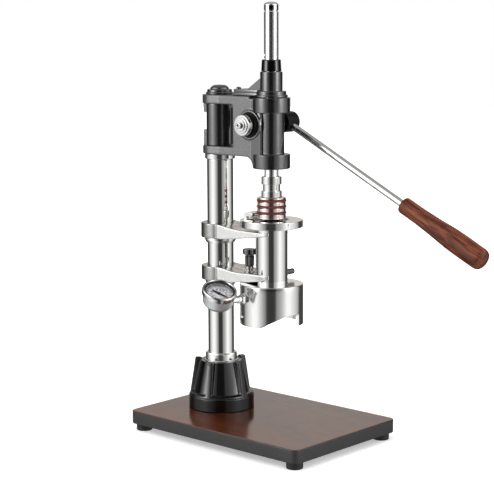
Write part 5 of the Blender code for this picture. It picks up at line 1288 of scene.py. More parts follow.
@dataclass
class Foot:
    """The ribbed cone with its collar, and the rod that holds the stack to the board."""

    ring_radius: float = 0.0375
    ring_height: float = 0.0148
    ring_edges: tuple = (0.0, 0.0006, 0.0016, 0.0)
    rib_low: float = 0.0362
    rib_high: float = 0.0305
    core_low: float = 0.0318
    core_high: float = 0.0236
    top: float = 0.0547
    ribs: int = 5
    rib_width: float = 0.0062
    rib_heading: float = math.radians(-90.0)
    rib_stand: float = 0.002
    rib_flank: float = 0.001
    rib_end: float = 0.0025
    rib_run: float = 0.002
    crown_run: float = 0.0012
    pocket_low: float = 0.0172
    pocket_slope: float = 1.8
    corner: float = 0.004
    bevel: float = 0.0022
    shoulder: float = 0.0016
    collar_lip: float = 0.0195
    collar_sunk: float = 0.0016
    cone_foot: float = 0.001
    cone_start: float = 0.0004
    steps: int = 640
    cone_rows: int = 90
    crown_rows: int = 24
    collar: Rows = mm((15.2, 0), (19.5, 0), (19.5, 1.8), (18, 2.4), (18, 9), (17.2, 10.7), (15.2, 10.7))

    def from_rib(self, size: Array, angle: Array) -> Array:
        """How far a point lies beyond the side of the nearest rib, round the axis.

        Args:
            size: Distances from the axis.
            angle: Angles about it.

        Returns:
            The distances, negative on a rib.
        """
        pitch = ROUND / self.ribs
        off = np.abs((angle - self.rib_heading + pitch / 2) % pitch - pitch / 2)
        return off * size - self.rib_width / 2

    def ribbed(self, size: Array, height: Array, angle: Array) -> tuple[Array, Array]:
        """The outer cone pulled in to the core between its ribs, and the ribs' tops raised.

        A pocket is open at the top and has rounded lower corners. Across its edge the radius
        goes from the ribs' cone to the core's cone as 3 s^2 - 2 s^3 of the distance inside.

        Args:
            size: Distances from the axis.
            height: Heights.
            angle: Angles about the axis.

        Returns:
            The new radius and the new height.
        """
        across = self.from_rib(size, angle)
        upward = (height - self.pocket_low) * self.pocket_slope
        gap = np.hypot(np.maximum(self.corner - across, 0.0), np.maximum(self.corner - upward, 0.0))
        inside = np.minimum(self.corner - gap, np.minimum(across, upward))
        share = np.clip(inside / self.bevel, 0.0, 1.0)
        share = share * share * (3 - 2 * share)
        core = np.interp(height, [self.pocket_low, self.top], [self.core_low, self.core_high])
        on_cone = height > self.ring_height + self.cone_start
        pull = np.where(on_cone, share * np.maximum(size - core, 0.0), 0.0)
        lift = np.clip(-across / self.rib_flank, 0.0, 1.0)
        lift = lift * np.clip((size - self.collar_lip - self.rib_end) / self.rib_run, 0.0, 1.0)
        lift = lift * np.clip((height - self.top + self.shoulder) / self.crown_run, 0.0, 1.0)
        return size - pull, height + lift * self.rib_stand

    def profile(self) -> Array:
        """Ring, cone with close rows for the pockets, rounded shoulder, top and the collar's seat.

        Returns:
            The (radius, height) points, from the axis and back to it.
        """
        low = np.array([self.rib_low, self.ring_height + self.cone_foot])
        edge = self.shoulder
        high = np.array([self.rib_high, self.top - edge])
        head = [(0.0, GAP), (self.ring_radius, GAP), (self.ring_radius, self.ring_height), tuple(low)]
        ring = held(softened(head, self.ring_edges, closed=False), False)
        cone = low + (high - low) * np.linspace(0.0, 1.0, self.cone_rows)[1:, None]
        shoulder = arc((high[0] - edge, high[1]), edge, 0.0, QUARTER, 8)[1:]
        lip = self.collar_lip + GAP
        crown = np.linspace(shoulder[-1], (lip, self.top), self.crown_rows)[1:]
        floor = self.top - self.collar_sunk
        seat = [(lip, floor), (COLUMN_FIT, floor), (0.0, floor)]
        return np.concatenate([ring, cone, shoulder, crown, seat])

    def build(self) -> None:
        """One grid of profile and angle for the casting, and a turned collar."""
        line = self.profile()
        size, height, angle = round_grid(line, self.steps)
        size, height = self.ribbed(size, height, angle)
        points = AT_COLUMN.put(size * np.cos(angle), size * np.sin(angle), height)
        body = Shell(points, lattice(len(line), self.steps, False, True).tolist())
        piece("column_foot", [body], Stock.GLOSS, math.radians(60))
        low = self.top - self.collar_sunk + GAP
        turn("foot_collar", Stock.SOFT, AT_COLUMN, self.collar, EASED, low, ring=True)
        dress(Stock.SCREW, "tie_rod", "tie_washer")


@dataclass
class Column:
    """The polished column and what stands on top of it."""

    radius: float = 0.0149
    foot: float = 0.0063
    top: float = 0.2857
    collar_radius: float = 0.0171
    collar_top: float = 0.2917
    sleeve_radius: float = 0.014
    window_radius: float = 0.015
    window_low: float = 0.3012
    window_high: float = 0.3482
    sleeve_top: float = 0.3583
    cap: Rows = mm(
        (0, 0, 0), (15.3, 0, 0.6), (15.3, 1.6, 0.6), (13.9, 2.4, 0.6), (13.9, 5, 1), (10.7, 5, 1),
        (10, 7.2, 3), (6.8, 9.6, 6), (0, 10.2, 0),
    )

    def build(self) -> None:
        """Turned pieces on the column's axis."""
        turn("column_tube", Stock.POLISH, AT_COLUMN, rod(self.radius, self.foot, self.top), EASED)
        collar = rod(self.collar_radius, self.top + GAP, self.collar_top)
        turn("head_collar", Stock.POLISH, AT_COLUMN, collar, ROUNDED)
        low, r, wide = self.collar_top + GAP, self.sleeve_radius, self.window_radius
        start, end = self.window_low + GAP, self.window_high - GAP
        middle = [(r, start), (wide, start), (wide, end), (r, end)]
        sleeve = [(0.0, low), (r, low), *middle, (r, self.sleeve_top), (0.0, self.sleeve_top)]
        turn("column_sleeve", Stock.COAT, AT_COLUMN, sleeve, FINE)
        turn("column_cap", Stock.COAT, AT_COLUMN, self.cap, base=self.sleeve_top + GAP)
        dress(Stock.DARK, "column_spigot")


@dataclass
class Arms:
    """The two cast arms, their stop collars, the clamp screws and the pin.

    The side lines are tables of reach from the column's axis and rise.
    """

    ring: float = 0.022
    flank: float = 0.0196
    flank_start: float = 0.0085
    taper: float = 0.005
    tip: float = 0.0868
    bore: float = 0.0151
    hug: float = 0.0181
    wall: float = 0.0192
    slit: Band = (0.005, 0.0066)
    group_room: float = 0.0356
    group_top: float = 0.1529
    edge: float = 0.0008
    bore_edge: float = 0.0004
    step: float = 0.00075
    half_width: float = 0.0235
    margin: float = 0.002
    pin_at: Band = (RAM_Y + 0.002, BOARD_TOP + 0.1608)
    pin: tuple = (0.0032, 0.0183, 0.0385)
    lower_top: Rows = mm(
        (0, 165), (19.9, 164.9), (32.6, 162.8), (45.2, 162.3), (58.6, 162.9), (86.8, 163.4),
    )
    lower_bottom: Rows = mm(
        (0, 149), (20, 149), (35.8, 150.1), (48.8, 152.1), (61.6, 153.6), (76.5, 156.1), (86.8, 158.8),
    )
    upper_top: Rows = mm(
        (0, 214), (10.3, 213.7), (19.7, 213), (28.3, 211.5), (35.8, 210.6), (46, 210), (86.8, 210.2),
    )
    upper_bottom: Rows = mm(
        (0, 197.2), (17.1, 197.4), (29.8, 198.6), (42.4, 200.3), (55.8, 202), (70.7, 204), (86.8, 206.6),
    )
    collar: Rows = mm((15.2, -5.6), (16.6, -5.6), (17.8, -2.8), (17.8, 0), (15.2, 0))

    def line(self, corners: Sequence, reach: Array) -> Array:
        """The height of a side line: straight between its corners, eased by a running mean.

        Args:
            corners: The line's (reach, rise) corners.
            reach: Where the height is wanted.

        Returns:
            The heights above the floor.
        """
        table = np.asarray(corners)
        fine = np.linspace(-0.03, 0.1, 400)
        raw = np.interp(fine, table[:, 0], table[:, 1])
        window = np.hanning(31)
        smooth = np.convolve(np.pad(raw, 15, mode="edge"), window / window.sum(), mode="valid")
        return np.interp(reach, fine, smooth) + BOARD_TOP

    def distance(
        self, top: Sequence, bottom: Sequence, recess: float | None, x: Array, y: Array, z: Array
    ) -> Array:
        """Distance to an arm: its plan met with its side view, less the bores.

        The plan is a disc round the column and a strip ahead of it that ends at the tip. The side
        view lies between two lines. The column and the cylinder are taken out as round bores.

        Args:
            top: The upper side line.
            bottom: The lower side line.
            recess: The height up to which the group head's room is cut away, if any.
            x, y, z: The places.

        Returns:
            One distance for each place.
        """
        reach = COLUMN_Y - y
        from_column, from_ram = np.hypot(x, reach), np.hypot(x, y - RAM_Y)
        length = np.maximum(self.flank_start - reach, reach - self.tip)
        strip = np.maximum(np.abs(x) - self.flank + (reach - 0.01) * self.taper, length)
        strip = np.where(y < RAM_Y, np.maximum(from_ram - self.wall, reach - self.tip), strip)
        plan = np.minimum(from_column - self.ring, strip)
        arm = meet(plan, between(z, self.line(bottom, reach), self.line(top, reach)), self.edge)
        arm = carve(arm, from_column - self.bore, self.bore_edge)
        arm = carve(arm, from_ram - self.hug, self.bore_edge)
        arm = np.maximum(arm, -np.maximum(between(reach, *self.slit), -x))
        if recess is not None:
            arm = np.maximum(arm, -np.maximum(from_ram - self.group_room, z - recess))
        return arm

    def build(self) -> None:
        """Both arms from their distances, and turned collars and screws."""
        for name, top, bottom, recess in (
            ("lower", self.lower_top, self.lower_bottom, BOARD_TOP + self.group_top),
            ("upper", self.upper_top, self.upper_bottom, None),
        ):
            rises = [row[1] for row in (*top, *bottom)]
            front, back = COLUMN_Y - self.tip - self.margin, COLUMN_Y + self.ring + self.margin
            low = (-self.half_width, front, BOARD_TOP + min(rises) - self.margin)
            high = (self.half_width, back, BOARD_TOP + max(rises) + self.margin)
            arm = skin(partial(self.distance, top, bottom, recess), low, high, self.step)
            mark_upward(piece(f"{name}_arm", [arm], Stock.CAST, CAST_CREASE))
            dress(Stock.DARK, f"{name}_arm_clamp_screw")
            under = bottom[0][1] - GAP
            turn(f"{name}_stop_collar", Stock.SOFT, AT_COLUMN, self.collar, EASED, under, ring=True)
        at = Place((0.0, *self.pin_at), RIGHT, UP)
        turn("arm_pin", Stock.DARK, at, rod(*self.pin), ROUNDED, steps=48)


@dataclass
class Knob:
    """The fluted knob on its ferrule."""

    side: float = 0.0065
    back: float = 0.027
    seat: float = 0.1622
    sunk: float = -0.006
    ferrule_top: float = 0.0066
    flute: float = 0.001
    lobes: int = 8
    fluted: Band = (0.0045, 0.006)
    wall: Rows = mm((5.1, 0.8), (5.5, 10.8))
    wall_rows: int = 12
    grip_foot: Rows = mm((0, 0, 0), (4.6, 0, 0.3))
    ferrule: Rows = mm((2.4, 0), (5.8, 0), (5.8, 1.2), (3.6, 1.8), (3.6, 3), (4.7, 3.6))
    crown: Rows = mm(
        (4.6, 11.8, 0.6), (5, 12.8, 0.6), (7.5, 13.2, 1), (7.9, 18.4, 1.2), (6.9, 19.4, 1.2),
        (0, 18.8, 0),
    )

    def flutes(self, size: Array, height: Array, angle: Array) -> Array:
        """The radius less a hollow between each two lobes, only low on the body.

        Args:
            size: Distances from the axis.
            height: Heights, which don't change it.
            angle: Angles about the axis.

        Returns:
            The new radius.
        """
        hollow = self.flute * (0.5 - 0.5 * np.cos(self.lobes * angle))
        return size - np.where((size > self.fluted[0]) & (size < self.fluted[1]), hollow, 0.0)

    def build(self) -> None:
        """Ferrule and grip as turned pieces on one upright axis."""
        place = Place((-self.side, RAM_Y + self.back, BOARD_TOP))
        low, top = self.seat + GAP, self.ferrule_top
        stem = [(0.0, self.sunk), (self.ferrule[0][0], self.sunk)]
        rows = [*stem, *self.ferrule, (self.ferrule[-1][0], top), (0.0, top)]
        turn("knob_screw", Stock.SCREW, place, rows, CRISP, low, steps=64)
        wall = [(radius, height, 0.0) for radius, height in np.linspace(*self.wall, self.wall_rows)]
        rows, base = [*self.grip_foot, *wall, *self.crown], low + top + GAP
        turn("knob_grip", Stock.PLASTIC, place, rows, base=base, steps=160, wave=self.flutes)


@dataclass
class Brewer:
    """The cylinder with its flange, and the group head below it.

    The notch table gives places along the wall as shares of the notch's long side, from -1 at its
    start, and the share of its height there.
    """

    radius: float = 0.0178
    bore: float = 0.017
    foot: float = 0.1447
    top: float = 0.2182
    flange_top: float = 0.2234
    flange: Rows = mm(
        (34.75, 223.4, 0.7), (34.75, 215.6, 0.7), (28.9, 215.6, 0.3), (28.9, 214.2, 0.4), (18.1, 214.2, 0.2),
        (18.1, 218.5, 0), (17, 218.5, 0.3), (17, 220.7, 0.6), (19.6, 223.4, 0.5),
    )
    lug: tuple = ((0.02, 0.0285, 0.032), (-0.003, 0.002, 0.0062), 0.01)
    lug_edges: tuple = (0.0, 0.0, 0.001, 0.001, 0.0003, 0.0004)
    group_radius: float = 0.0353
    group_bore: float = 0.031
    group_top: float = 0.1526
    group_height: float = 0.045
    group_floor: float = 0.1424
    group_edge: float = 0.0006
    group_crown: float = 0.0012
    seat: Band = (0.0181, 0.1444)
    screw_hole: float = 0.0025
    steps: int = 240
    notch_heading: float = math.radians(248.0)
    notch_start: float = -0.0262
    notch_end: float = 0.0183
    notch_height: float = 0.0129
    notch_step: float = 0.002
    notch: tuple = (
        (-1.0, 0.0), (-0.88, 0.13), (-0.756, 0.33), (-0.55, 0.53), (-0.363, 0.69), (-0.18, 0.84),
        (0.0, 0.945), (0.3, 1.0),
    )
    slot_headings: Band = (math.radians(146.0), math.radians(326.0))
    slot_rise: float = 0.115
    slot_half: Band = (0.003, 0.00825)
    slot_depth: Band = (0.029, 0.0373)
    slot_corner: float = 0.0012

    def cylinder(self) -> None:
        """The tube and its flange with the mouth's step, the step below and the lug."""
        outer, inner = self.radius, self.bore
        tube = [(outer, self.foot), (outer, self.top), (inner, self.top), (inner, self.foot)]
        turn("brew_cylinder", Stock.POLISH, AT_RAM, tube, CRISP, ring=True)
        flange = turned(AT_RAM, self.flange, ring=True, steps=192)
        (front, deep, back), (base, under, crest), half = self.lug
        side = [(deep, base), (back, base), (back, crest), (front, crest), (front, under), (deep, under)]
        outline = np.array(side) + (RAM_Y, BOARD_TOP + self.flange_top)
        lug = prism(outline, -half, half, SIDE_ON, CRISP, self.lug_edges)
        piece("cylinder_flange", [flange, lug], Stock.POLISH)

    def skirt_foot(self, angle: Array) -> Array:
        """The height of the skirt's lower edge at an angle.

        In each notch the edge follows a line over the distance along the wall seen straight on,
        R sin(angle - heading): it climbs in a long curve and drops at once at its far end.

        Args:
            angle: Angles about the ram's axis.

        Returns:
            The heights.
        """
        low = self.group_top - self.group_height
        places, rises = np.array(self.notch).T
        foot = np.full(angle.shape, low)
        for number in range(2):
            off = angle - self.notch_heading - math.pi * number
            along = self.group_radius * np.sin(off)
            share = np.interp(along / -self.notch_start, places, rises)
            inside = (np.cos(off) > 0) & (along > self.notch_start) & (along < self.notch_end)
            foot = np.where(inside, low + self.notch_height * share, foot)
        return foot

    def angles(self) -> Array:
        """Even angles round the axis, and two close ones at each notch's steep end.

        Returns:
            The angles, in order.
        """
        steep = self.notch_heading + math.asin(self.notch_end / self.group_radius)
        off = self.notch_step
        jumps = [steep - off, steep + off, steep + math.pi - off, steep + math.pi + off]
        even = np.arange(self.steps) / self.steps * ROUND
        return np.sort(np.concatenate([even, jumps]) % ROUND)

    def group(self) -> None:
        """The skirt is a wall profile carried round the axis whose foot follows the notches."""
        angle = self.angles()
        foot, same = self.skirt_foot(angle), np.ones(angle.shape)
        r, b, edge = self.group_radius, self.group_bore, self.group_edge
        top, floor, hole = self.group_top, self.group_floor, self.screw_hole
        shoulder = [(self.seat[0], top), (r, top), (r, floor)]
        crown = softened(shoulder, [0, self.group_crown, 0], closed=False)
        bend = np.linspace(0.0, QUARTER, 4)
        rows = [(same * q, same * h) for q, h in held(crown[:-1], False)]
        rows += [(same * r, top + (foot + edge - top) * share) for share in (0.25, 0.5, 0.75, 0.97)]
        rows += [(same * (r - edge + edge * math.cos(t)), foot + edge - edge * math.sin(t)) for t in bend]
        rows += [(same * (b + edge - edge * math.sin(t)), foot + edge - edge * math.cos(t)) for t in bend]
        rows += [(same * b, foot + (floor - foot) * share) for share in (0.1, 0.5, 0.97)]
        inner = [(b, floor), (b - GAP, floor), (hole, floor), (hole, self.seat[1]), self.seat]
        rows += [(same * q, same * h) for q, h in inner]
        size, height = np.array(rows).transpose(1, 0, 2)
        points = AT_RAM.put(size * np.cos(angle), size * np.sin(angle), height)
        shell = Shell(points, lattice(len(rows), len(angle), True, True).tolist())
        made = piece("group_head", [shell], Stock.GROUP)
        width, rise = self.slot_half
        for heading in self.slot_headings:
            outline, place = rectangle(-width, width, -rise, rise), outward(heading, self.slot_rise)
            tool = prism(outline, *self.slot_depth, place, HAIR, self.slot_corner)
            cut_with(made, mesh_of("slot_tool", [tool], CREASE))

    def build(self) -> None:
        """Both halves of the brewer, and what the group head holds."""
        self.cylinder()
        self.group()
        dress(Stock.GASKET, "group_gasket")
        dress(Stock.BEAD, "shower_screen")
        dress(Stock.SCREW, "screen_screw")


@dataclass
class Gauge:
    """The pressure gauge: nut, stem, case, bezel, dial, needle and glass."""

    heading: float = math.radians(163.5)
    stem_rise: float = 0.138
    distance: float = 0.068
    rise: float = 0.1432
    normal: Triple = (-0.1988489, -0.3950219, 0.896893)
    forward: float = 0.0014
    needle_turn: float = math.radians(-51.0)
    needle_half: Triple = (0.0004, 0.0014, 0.0007)
    needle_reach: Triple = (0.0128, 0.0, -0.0088)
    needle_low: float = 0.0036
    needle_high: float = 0.0041
    nut: Triple = (0.0112, 0.0356, 0.0404)
    dial: Triple = (0.0165, 0.0019, 0.0027)
    glass: Triple = (0.0183, 0.0063, 0.0075)
    stem: Rows = mm(
        (0, 32.5), (3.8, 32.5), (3.8, 40.5), (4.6, 40.8), (4.6, 44), (3.8, 44.3), (3.8, 53), (0, 53),
    )
    case: Rows = mm(
        (0, 1.6, 0), (16.8, 1.6, 0.2), (16.8, 6, 0.2), (18.3, 6, 0.2), (16.6, -7.8, 1.8),
        (13.8, -11.8, 2.2), (0, -11.8, 0),
    )
    bezel: Rows = mm(
        (19.2, 3, 0.4), (19.2, 8, 1), (18.2, 9.3, 0.6), (17.1, 9.3, 0.6), (16.3, 7.8, 0.3),
        (18.6, 7.8, 0.1), (18.6, 3, 0.3),
    )
    hub: Rows = mm((0, 2.8), (1.5, 2.8), (1.5, 4.2), (1, 5), (0, 5.2))

    def axis(self) -> Place:
        """The dial's own axis: its first direction runs across the dial, level with the floor.

        Returns:
            The axis, with its zero at the dial's middle.
        """
        normal = np.array(self.normal)
        level = np.cross(UP, normal)
        level /= np.linalg.norm(level)
        x, y = math.cos(self.heading) * self.distance, math.sin(self.heading) * self.distance
        centre = np.array([x, RAM_Y + y, BOARD_TOP + self.rise]) + normal * self.forward
        return Place(tuple(centre.tolist()), tuple(normal.tolist()), tuple(level.tolist()))

    def needle(self, at: Place) -> None:
        """A tapered pointer with a short tail, and a domed hub.

        Args:
            at: The dial's axis.
        """
        near = list(zip(self.needle_reach, self.needle_half))
        (point, fine), *rest = near
        line = np.array([(point, -fine), *near, *[(reach, -half) for reach, half in reversed(rest)]])
        c, n = math.cos(self.needle_turn), math.sin(self.needle_turn)
        outline = line @ np.array([(c, n), (-n, c)])
        pointer = prism(outline, self.needle_low, self.needle_high, at, HAIR)
        piece("gauge_needle", [pointer, turned(at, self.hub, CRISP, steps=32)], Stock.NEEDLE)

    def build(self) -> None:
        """Stem and nut on the group's wall, and turned pieces on the dial's axis."""
        side = outward(self.heading, self.stem_rise)
        turn("gauge_stem", Stock.POLISH, side, self.stem, CRISP, steps=48)
        flats, low, high = self.nut
        piece("gauge_nut", [prism(hexagon(flats), low, high, side, 0.0005, 0.0003)], Stock.POLISH)
        at = self.axis()
        turn("gauge_case", Stock.CASE, at, self.case)
        turn("gauge_bezel", Stock.SATIN, at, self.bezel, ring=True, steps=160)
        basis = np.stack([np.array(at.zero), np.cross(at.axis, at.zero), np.array(at.axis)])
        laid = {"middle": at.origin, "turn": tuple(Matrix(basis.tolist()).to_euler())}
        card = DialCard("dial_print", (0.88, 0.87, 0.91), 0.45, **laid)
        turn("gauge_dial", card, at, rod(*self.dial), HAIR, steps=96)
        # The glass's dark colour shows only on its ring past the clear radius, a painted shadow of the
        # bezel.
        clear = Glass("clear_glass", (0.03, 0.03, 0.03), 0.03, **laid)
        turn("gauge_glass", clear, at, rod(*self.glass), HAIR, steps=96)
        self.needle(at)


@dataclass
class Head:
    """The casting that swings on the column, and the pieces fixed to it.

    The cover, washer, nut and screw stand on the pinion's axis, each on what is inside it.
    """

    low: float = 0.292
    high: float = 0.358
    window_low: float = 0.3012
    window_high: float = 0.3482
    window: float = 0.0348
    window_corner: float = 0.0022
    half: float = 0.0168
    knuckle: float = 0.0191
    knuckle_blend: float = 0.004
    bore: float = 0.0143
    bore_edge: float = 0.0004
    foot: float = 0.2797
    top: float = 0.357
    throat: Triple = (0.0238, 0.0018, 0.0105)
    web_front: float = 0.0007
    shelf: float = 0.0182
    step_down: float = 0.0012
    edge: float = 0.0011
    step: float = 0.0008
    near_boss: tuple = (0.016, -0.0187, -0.005, 0.0007, 0.0016)
    far_boss: tuple = (0.0105, 0.005, 0.03, 0.001, 0.002)
    boss_room: tuple = (0.0139, -0.03, 0.0073, 0.0003)
    tabs: Rows = mm((292.8, 318.2), (337.7, 357.2))
    tab_half: float = 0.0065
    tab_reach: Band = (0.01, 0.0192)
    tab_edge: float = 0.0008
    space: tuple = (
        (-0.0225, RAM_Y - 0.001, BOARD_TOP + 0.2787), (0.032, COLUMN_Y + 0.022, BOARD_TOP + 0.3605),
    )
    lugs: Rows = mm((300.2, 304.8), (344.6, 349.2))
    lug_reach: Band = (-0.001, 0.0036)
    lug_side: Band = (-0.015, -0.009)
    housing_rows: Rows = mm(
        (20.65, 0, 1.4), (20.65, 15.9, 0.8), (14.2, 15.9, 1), (14.2, 61.1, 1), (20.65, 61.1, 0.8),
        (20.65, 77.3, 0.8), (8.2, 77.3, 0.4), (8.2, 0, 0.4),
    )
    cover: Rows = mm(
        (6.3, 10.7, 0), (13.6, 10.7, 0), (13.6, 19.9, 0.4), (12.2, 19.9, 0.3), (12.2, 21.9, 0.5),
        (6.3, 21.9, 0),
    )
    washer: Rows = mm((6.3, 22.2), (10.4, 22.2), (10.4, 24), (6.3, 24))
    nut_seat: float = 0.024
    nut: Rows = mm(
        (2, 0.3, 0), (11.3, 0.3, 0.3), (11.3, 1.9, 0.2), (10.8, 2.2, 0.2), (11.3, 2.5, 0.2),
        (11.3, 6.4, 0.6), (9, 6.4, 0.2), (9, 7.8, 0.4), (6.4, 7.8, 0.2), (6.4, 9.2, 0.4), (2, 9.2, 0),
    )
    screw: Rows = mm(
        (0, 10.5, 0), (1.7, 10.5, 0), (1.7, 11.8, 0.2), (3.6, 11.8, 0.5), (3.6, 9.5, 0.2), (0, 9.5, 0),
    )
    guide: Rows = mm(
        (9.5, 0, 0), (17.9, 0, 0.5), (17.9, 2.6, 0.6), (16.2, 2.6, 0.4), (16.2, 6.7, 0.8),
        (12.2, 6.7, 0.6), (12.2, 27.5, 0.6), (9.5, 27.5, 0),
    )
    plates: Rows = mm((12.5, 48, 0, 3.4), (10.9, 46.4, 3.1, 6.8))
    plate_front: float = 0.01
    plate_corner: float = 0.0012
    rib: Rows = mm((10.4, 0), (32.2, 0), (32.2, 3.4), (13.5, 15.9), (10.4, 15.9))
    rib_corners: tuple = (0.0, 0.0, 0.001, 0.0015, 0.0)
    rib_half: float = 0.0035
    guide_top: float = 0.3848
    cap: Rows = mm((8.2, 0.3, 0), (11, 0.3, 0.6), (10.3, 13.2, 1.2), (8.2, 13.2, 0.3))
    plate_screw_at: float = COLUMN_Y - 0.029
    plate_screw: Rows = mm(
        (0, -4, 0), (1.4, -4, 0), (1.4, 7.1, 0), (3, 7.1, 0.2), (2.8, 8.2, 1), (1.8, 8.9, 1), (0, 9.2, 0),
    )

    def side_line(self) -> Array:
        """The side view's corners, rounded: web, two knuckle arms round the window, and the throat.

        Returns:
            The line's points, as places along Y and heights.
        """
        ahead, lift, radius = self.throat
        under = self.foot + lift
        throat = arc((ahead, under), radius, QUARTER, math.pi, 9) + (RAM_Y, 0.0)
        back, window = COLUMN_Y + 0.03, COLUMN_Y - self.window
        front, shelf, top = RAM_Y + self.web_front, RAM_Y + self.shelf, self.top - self.step_down
        rest = [
            (front, under), (front, top), (shelf, top), (shelf, self.high), (back, self.high),
            (back, self.window_high), (window, self.window_high),
            (window, self.window_low), (back, self.window_low),
        ]
        corners = np.concatenate([[(back, self.low)], throat, rest]) + (0.0, BOARD_TOP)
        radii = np.zeros(len(corners))
        radii[-3:-1] = self.window_corner
        return softened(corners[::-1], radii[::-1], steps=5)

    def distance(self, line: Array, x: Array, y: Array, z: Array) -> Array:
        """Distance to the web and knuckles: side view met with plan, with bosses melted on.

        Args:
            line: The side view.
            x, y, z: The places.

        Returns:
            One distance for each place.
        """
        ahead = COLUMN_Y - y
        from_column = np.hypot(x, ahead)
        strip = np.maximum(np.abs(x) - self.half, -ahead)
        plan = melt(from_column - self.knuckle, strip, self.knuckle_blend)
        web = meet(inside_of(line, y, z), plan, self.edge)
        reach = np.hypot(y - PINION[1], z - PINION[2])
        for radius, start, end, edge, blend in (self.near_boss, self.far_boss):
            web = melt(web, meet(reach - radius, between(x, start, end), edge), blend)
        for low, high in self.tabs:
            rise, edge = between(z, BOARD_TOP + low, BOARD_TOP + high), self.tab_edge
            tab = meet(between(x, -self.tab_half, self.tab_half), rise, edge)
            web = melt(web, meet(tab, between(-ahead, *self.tab_reach), edge), edge)
        web = carve(web, from_column - self.bore, self.bore_edge)
        radius, start, end, blend = self.boss_room
        return carve(web, np.maximum(reach - radius, between(x, start, end)), blend)

    def casting(self) -> None:
        """Web and knuckles from the distance, the ram's housing turned, the window's lugs as blocks."""
        web = skin(partial(self.distance, self.side_line()), *self.space, self.step)
        housing = turned(AT_RAM, self.housing_rows, base=self.foot, ring=True, steps=160)
        front, back = (COLUMN_Y - self.window + reach for reach in self.lug_reach)
        lugs = []
        for base, top in self.lugs:
            outline = rectangle(front, back, BOARD_TOP + base, BOARD_TOP + top)
            lugs.append(prism(outline, *self.lug_side, SIDE_ON, ROUNDED, ROUNDED))
        piece("head_casting", [web, housing, *lugs], Stock.BLASTED, CAST_CREASE)

    def near_side(self) -> None:
        """The stepped cover, the washer, the bright nut and its screw."""
        turn("pinion_cover", Stock.HUB, NEAR_SIDE, self.cover, ring=True, steps=96)
        turn("shaft_washer", Stock.HUB, NEAR_SIDE, self.washer, CRISP, ring=True, steps=96)
        turn("end_nut", Stock.SATIN, NEAR_SIDE, self.nut, base=self.nut_seat, ring=True, steps=96)
        turn("end_screw", Stock.SCREW, NEAR_SIDE, self.screw, base=self.nut_seat, steps=48)

    def tower(self) -> None:
        """The stepped guide with its doubled plate and rib, the gloss cap and the plate's screw."""
        shells = [turned(AT_RAM, self.guide, base=self.top + GAP, ring=True)]
        low = self.high + GAP
        for half, back, under, over in self.plates:
            outline = rectangle(-half, half, self.plate_front, back)
            ends = low + under, low + over
            shells.append(prism(outline, *ends, AT_RAM, ROUNDED, self.plate_corner))
        rib = np.array(self.rib) + (RAM_Y, BOARD_TOP + low + self.plates[0][3])
        shells.append(prism(rib, -self.rib_half, self.rib_half, SIDE_ON, ROUNDED, self.rib_corners))
        piece("guide_tower", shells, Stock.COAT)
        turn("guide_cap", Stock.GLOSS, AT_RAM, self.cap, base=self.guide_top, ring=True, steps=96)
        at = Place((0.0, self.plate_screw_at, BOARD_TOP + self.high))
        turn("plate_screw", Stock.COAT, at, self.plate_screw, steps=48)

    def build(self) -> None:
        """Everything on the head's body."""
        self.casting()
        self.near_side()
        self.tower()
        dress(Stock.BRONZE, "shaft_bush", "guide_bush")


@dataclass
class Lever:
    """The hub, the rod and the turned handle.

    The handle's shares give a place along its length and its share of the full girth there.
    """

    side: float = 0.045
    hub_far: float = 0.055
    hub: Rows = mm(
        (0, -20, 0), (11.6, -20, 1.2), (11.6, 0, 1.8), (4.9, 0, 0.4), (4.9, -1.4, 0), (0, -1.4, 0),
    )
    screw: Rows = mm(
        (0, -1.3, 0), (4.6, -1.3, 0), (4.6, 0, 0.6), (1.7, 0, 0.2), (1.5, -0.8, 0), (0, -0.8, 0),
    )
    rod: Triple = (0.004, 0.0075, 0.2118)
    handle_start: float = 0.1818
    handle_end: float = 0.296
    handle_bore: float = 0.0046
    handle_edge: float = 0.0008
    girth: float = 0.0119
    even_to: float = 0.93
    even_rows: int = 40
    last: float = 0.066
    last_rows: int = 20
    shares: tuple = (
        (0.0, 0.755), (0.01, 0.775), (0.2, 0.772), (0.3, 0.81), (0.4, 0.85), (0.5, 0.919), (0.6, 0.985),
        (0.72, 1.0), (0.85, 0.995), (0.93, 0.985), (0.955, 0.95), (0.975, 0.86), (0.99, 0.66),
        (0.996, 0.42),
    )

    def handle(self) -> Array:
        """The handle's profile, with rows that get closer towards its round end.

        Returns:
            Radius, height and rounding of each corner.
        """
        places, girths = np.array(self.shares).T
        bend = np.sin(np.linspace(0, QUARTER, self.last_rows)[1:])
        even = np.linspace(0.0, self.even_to, self.even_rows)
        share = np.concatenate([even, self.even_to + self.last * bend])
        start, length = self.handle_start, self.handle_end - self.handle_start
        size = np.interp(share, places, girths) * self.girth
        wall = np.stack([size, start + share * length, np.zeros(len(share))], 1)
        wall[0, 2] = self.handle_edge
        foot, end = [(0.0, start, 0.0), (self.handle_bore, start, 0.0)], [(0.0, self.handle_end, 0.0)]
        return np.concatenate([foot, wall, end])

    def build(self) -> None:
        """Turned pieces on the shaft's axis and on the rod's axis."""
        turn("lever_hub", Stock.HUB, FAR_SIDE, self.hub, base=self.hub_far, steps=96)
        turn("hub_screw", Stock.DARK, FAR_SIDE, self.screw, base=self.hub_far, steps=48)
        dress(Stock.SCREW, "pinion_shaft")
        way = (0.0, -math.cos(DROOP), -math.sin(DROOP))
        at = Place((self.side, PINION[1], PINION[2]), way, RIGHT)
        turn("lever_rod", Stock.POLISH, at, rod(*self.rod), EASED, steps=48)
        turn("lever_handle", Stock.HANDLE, at, self.handle(), steps=96)


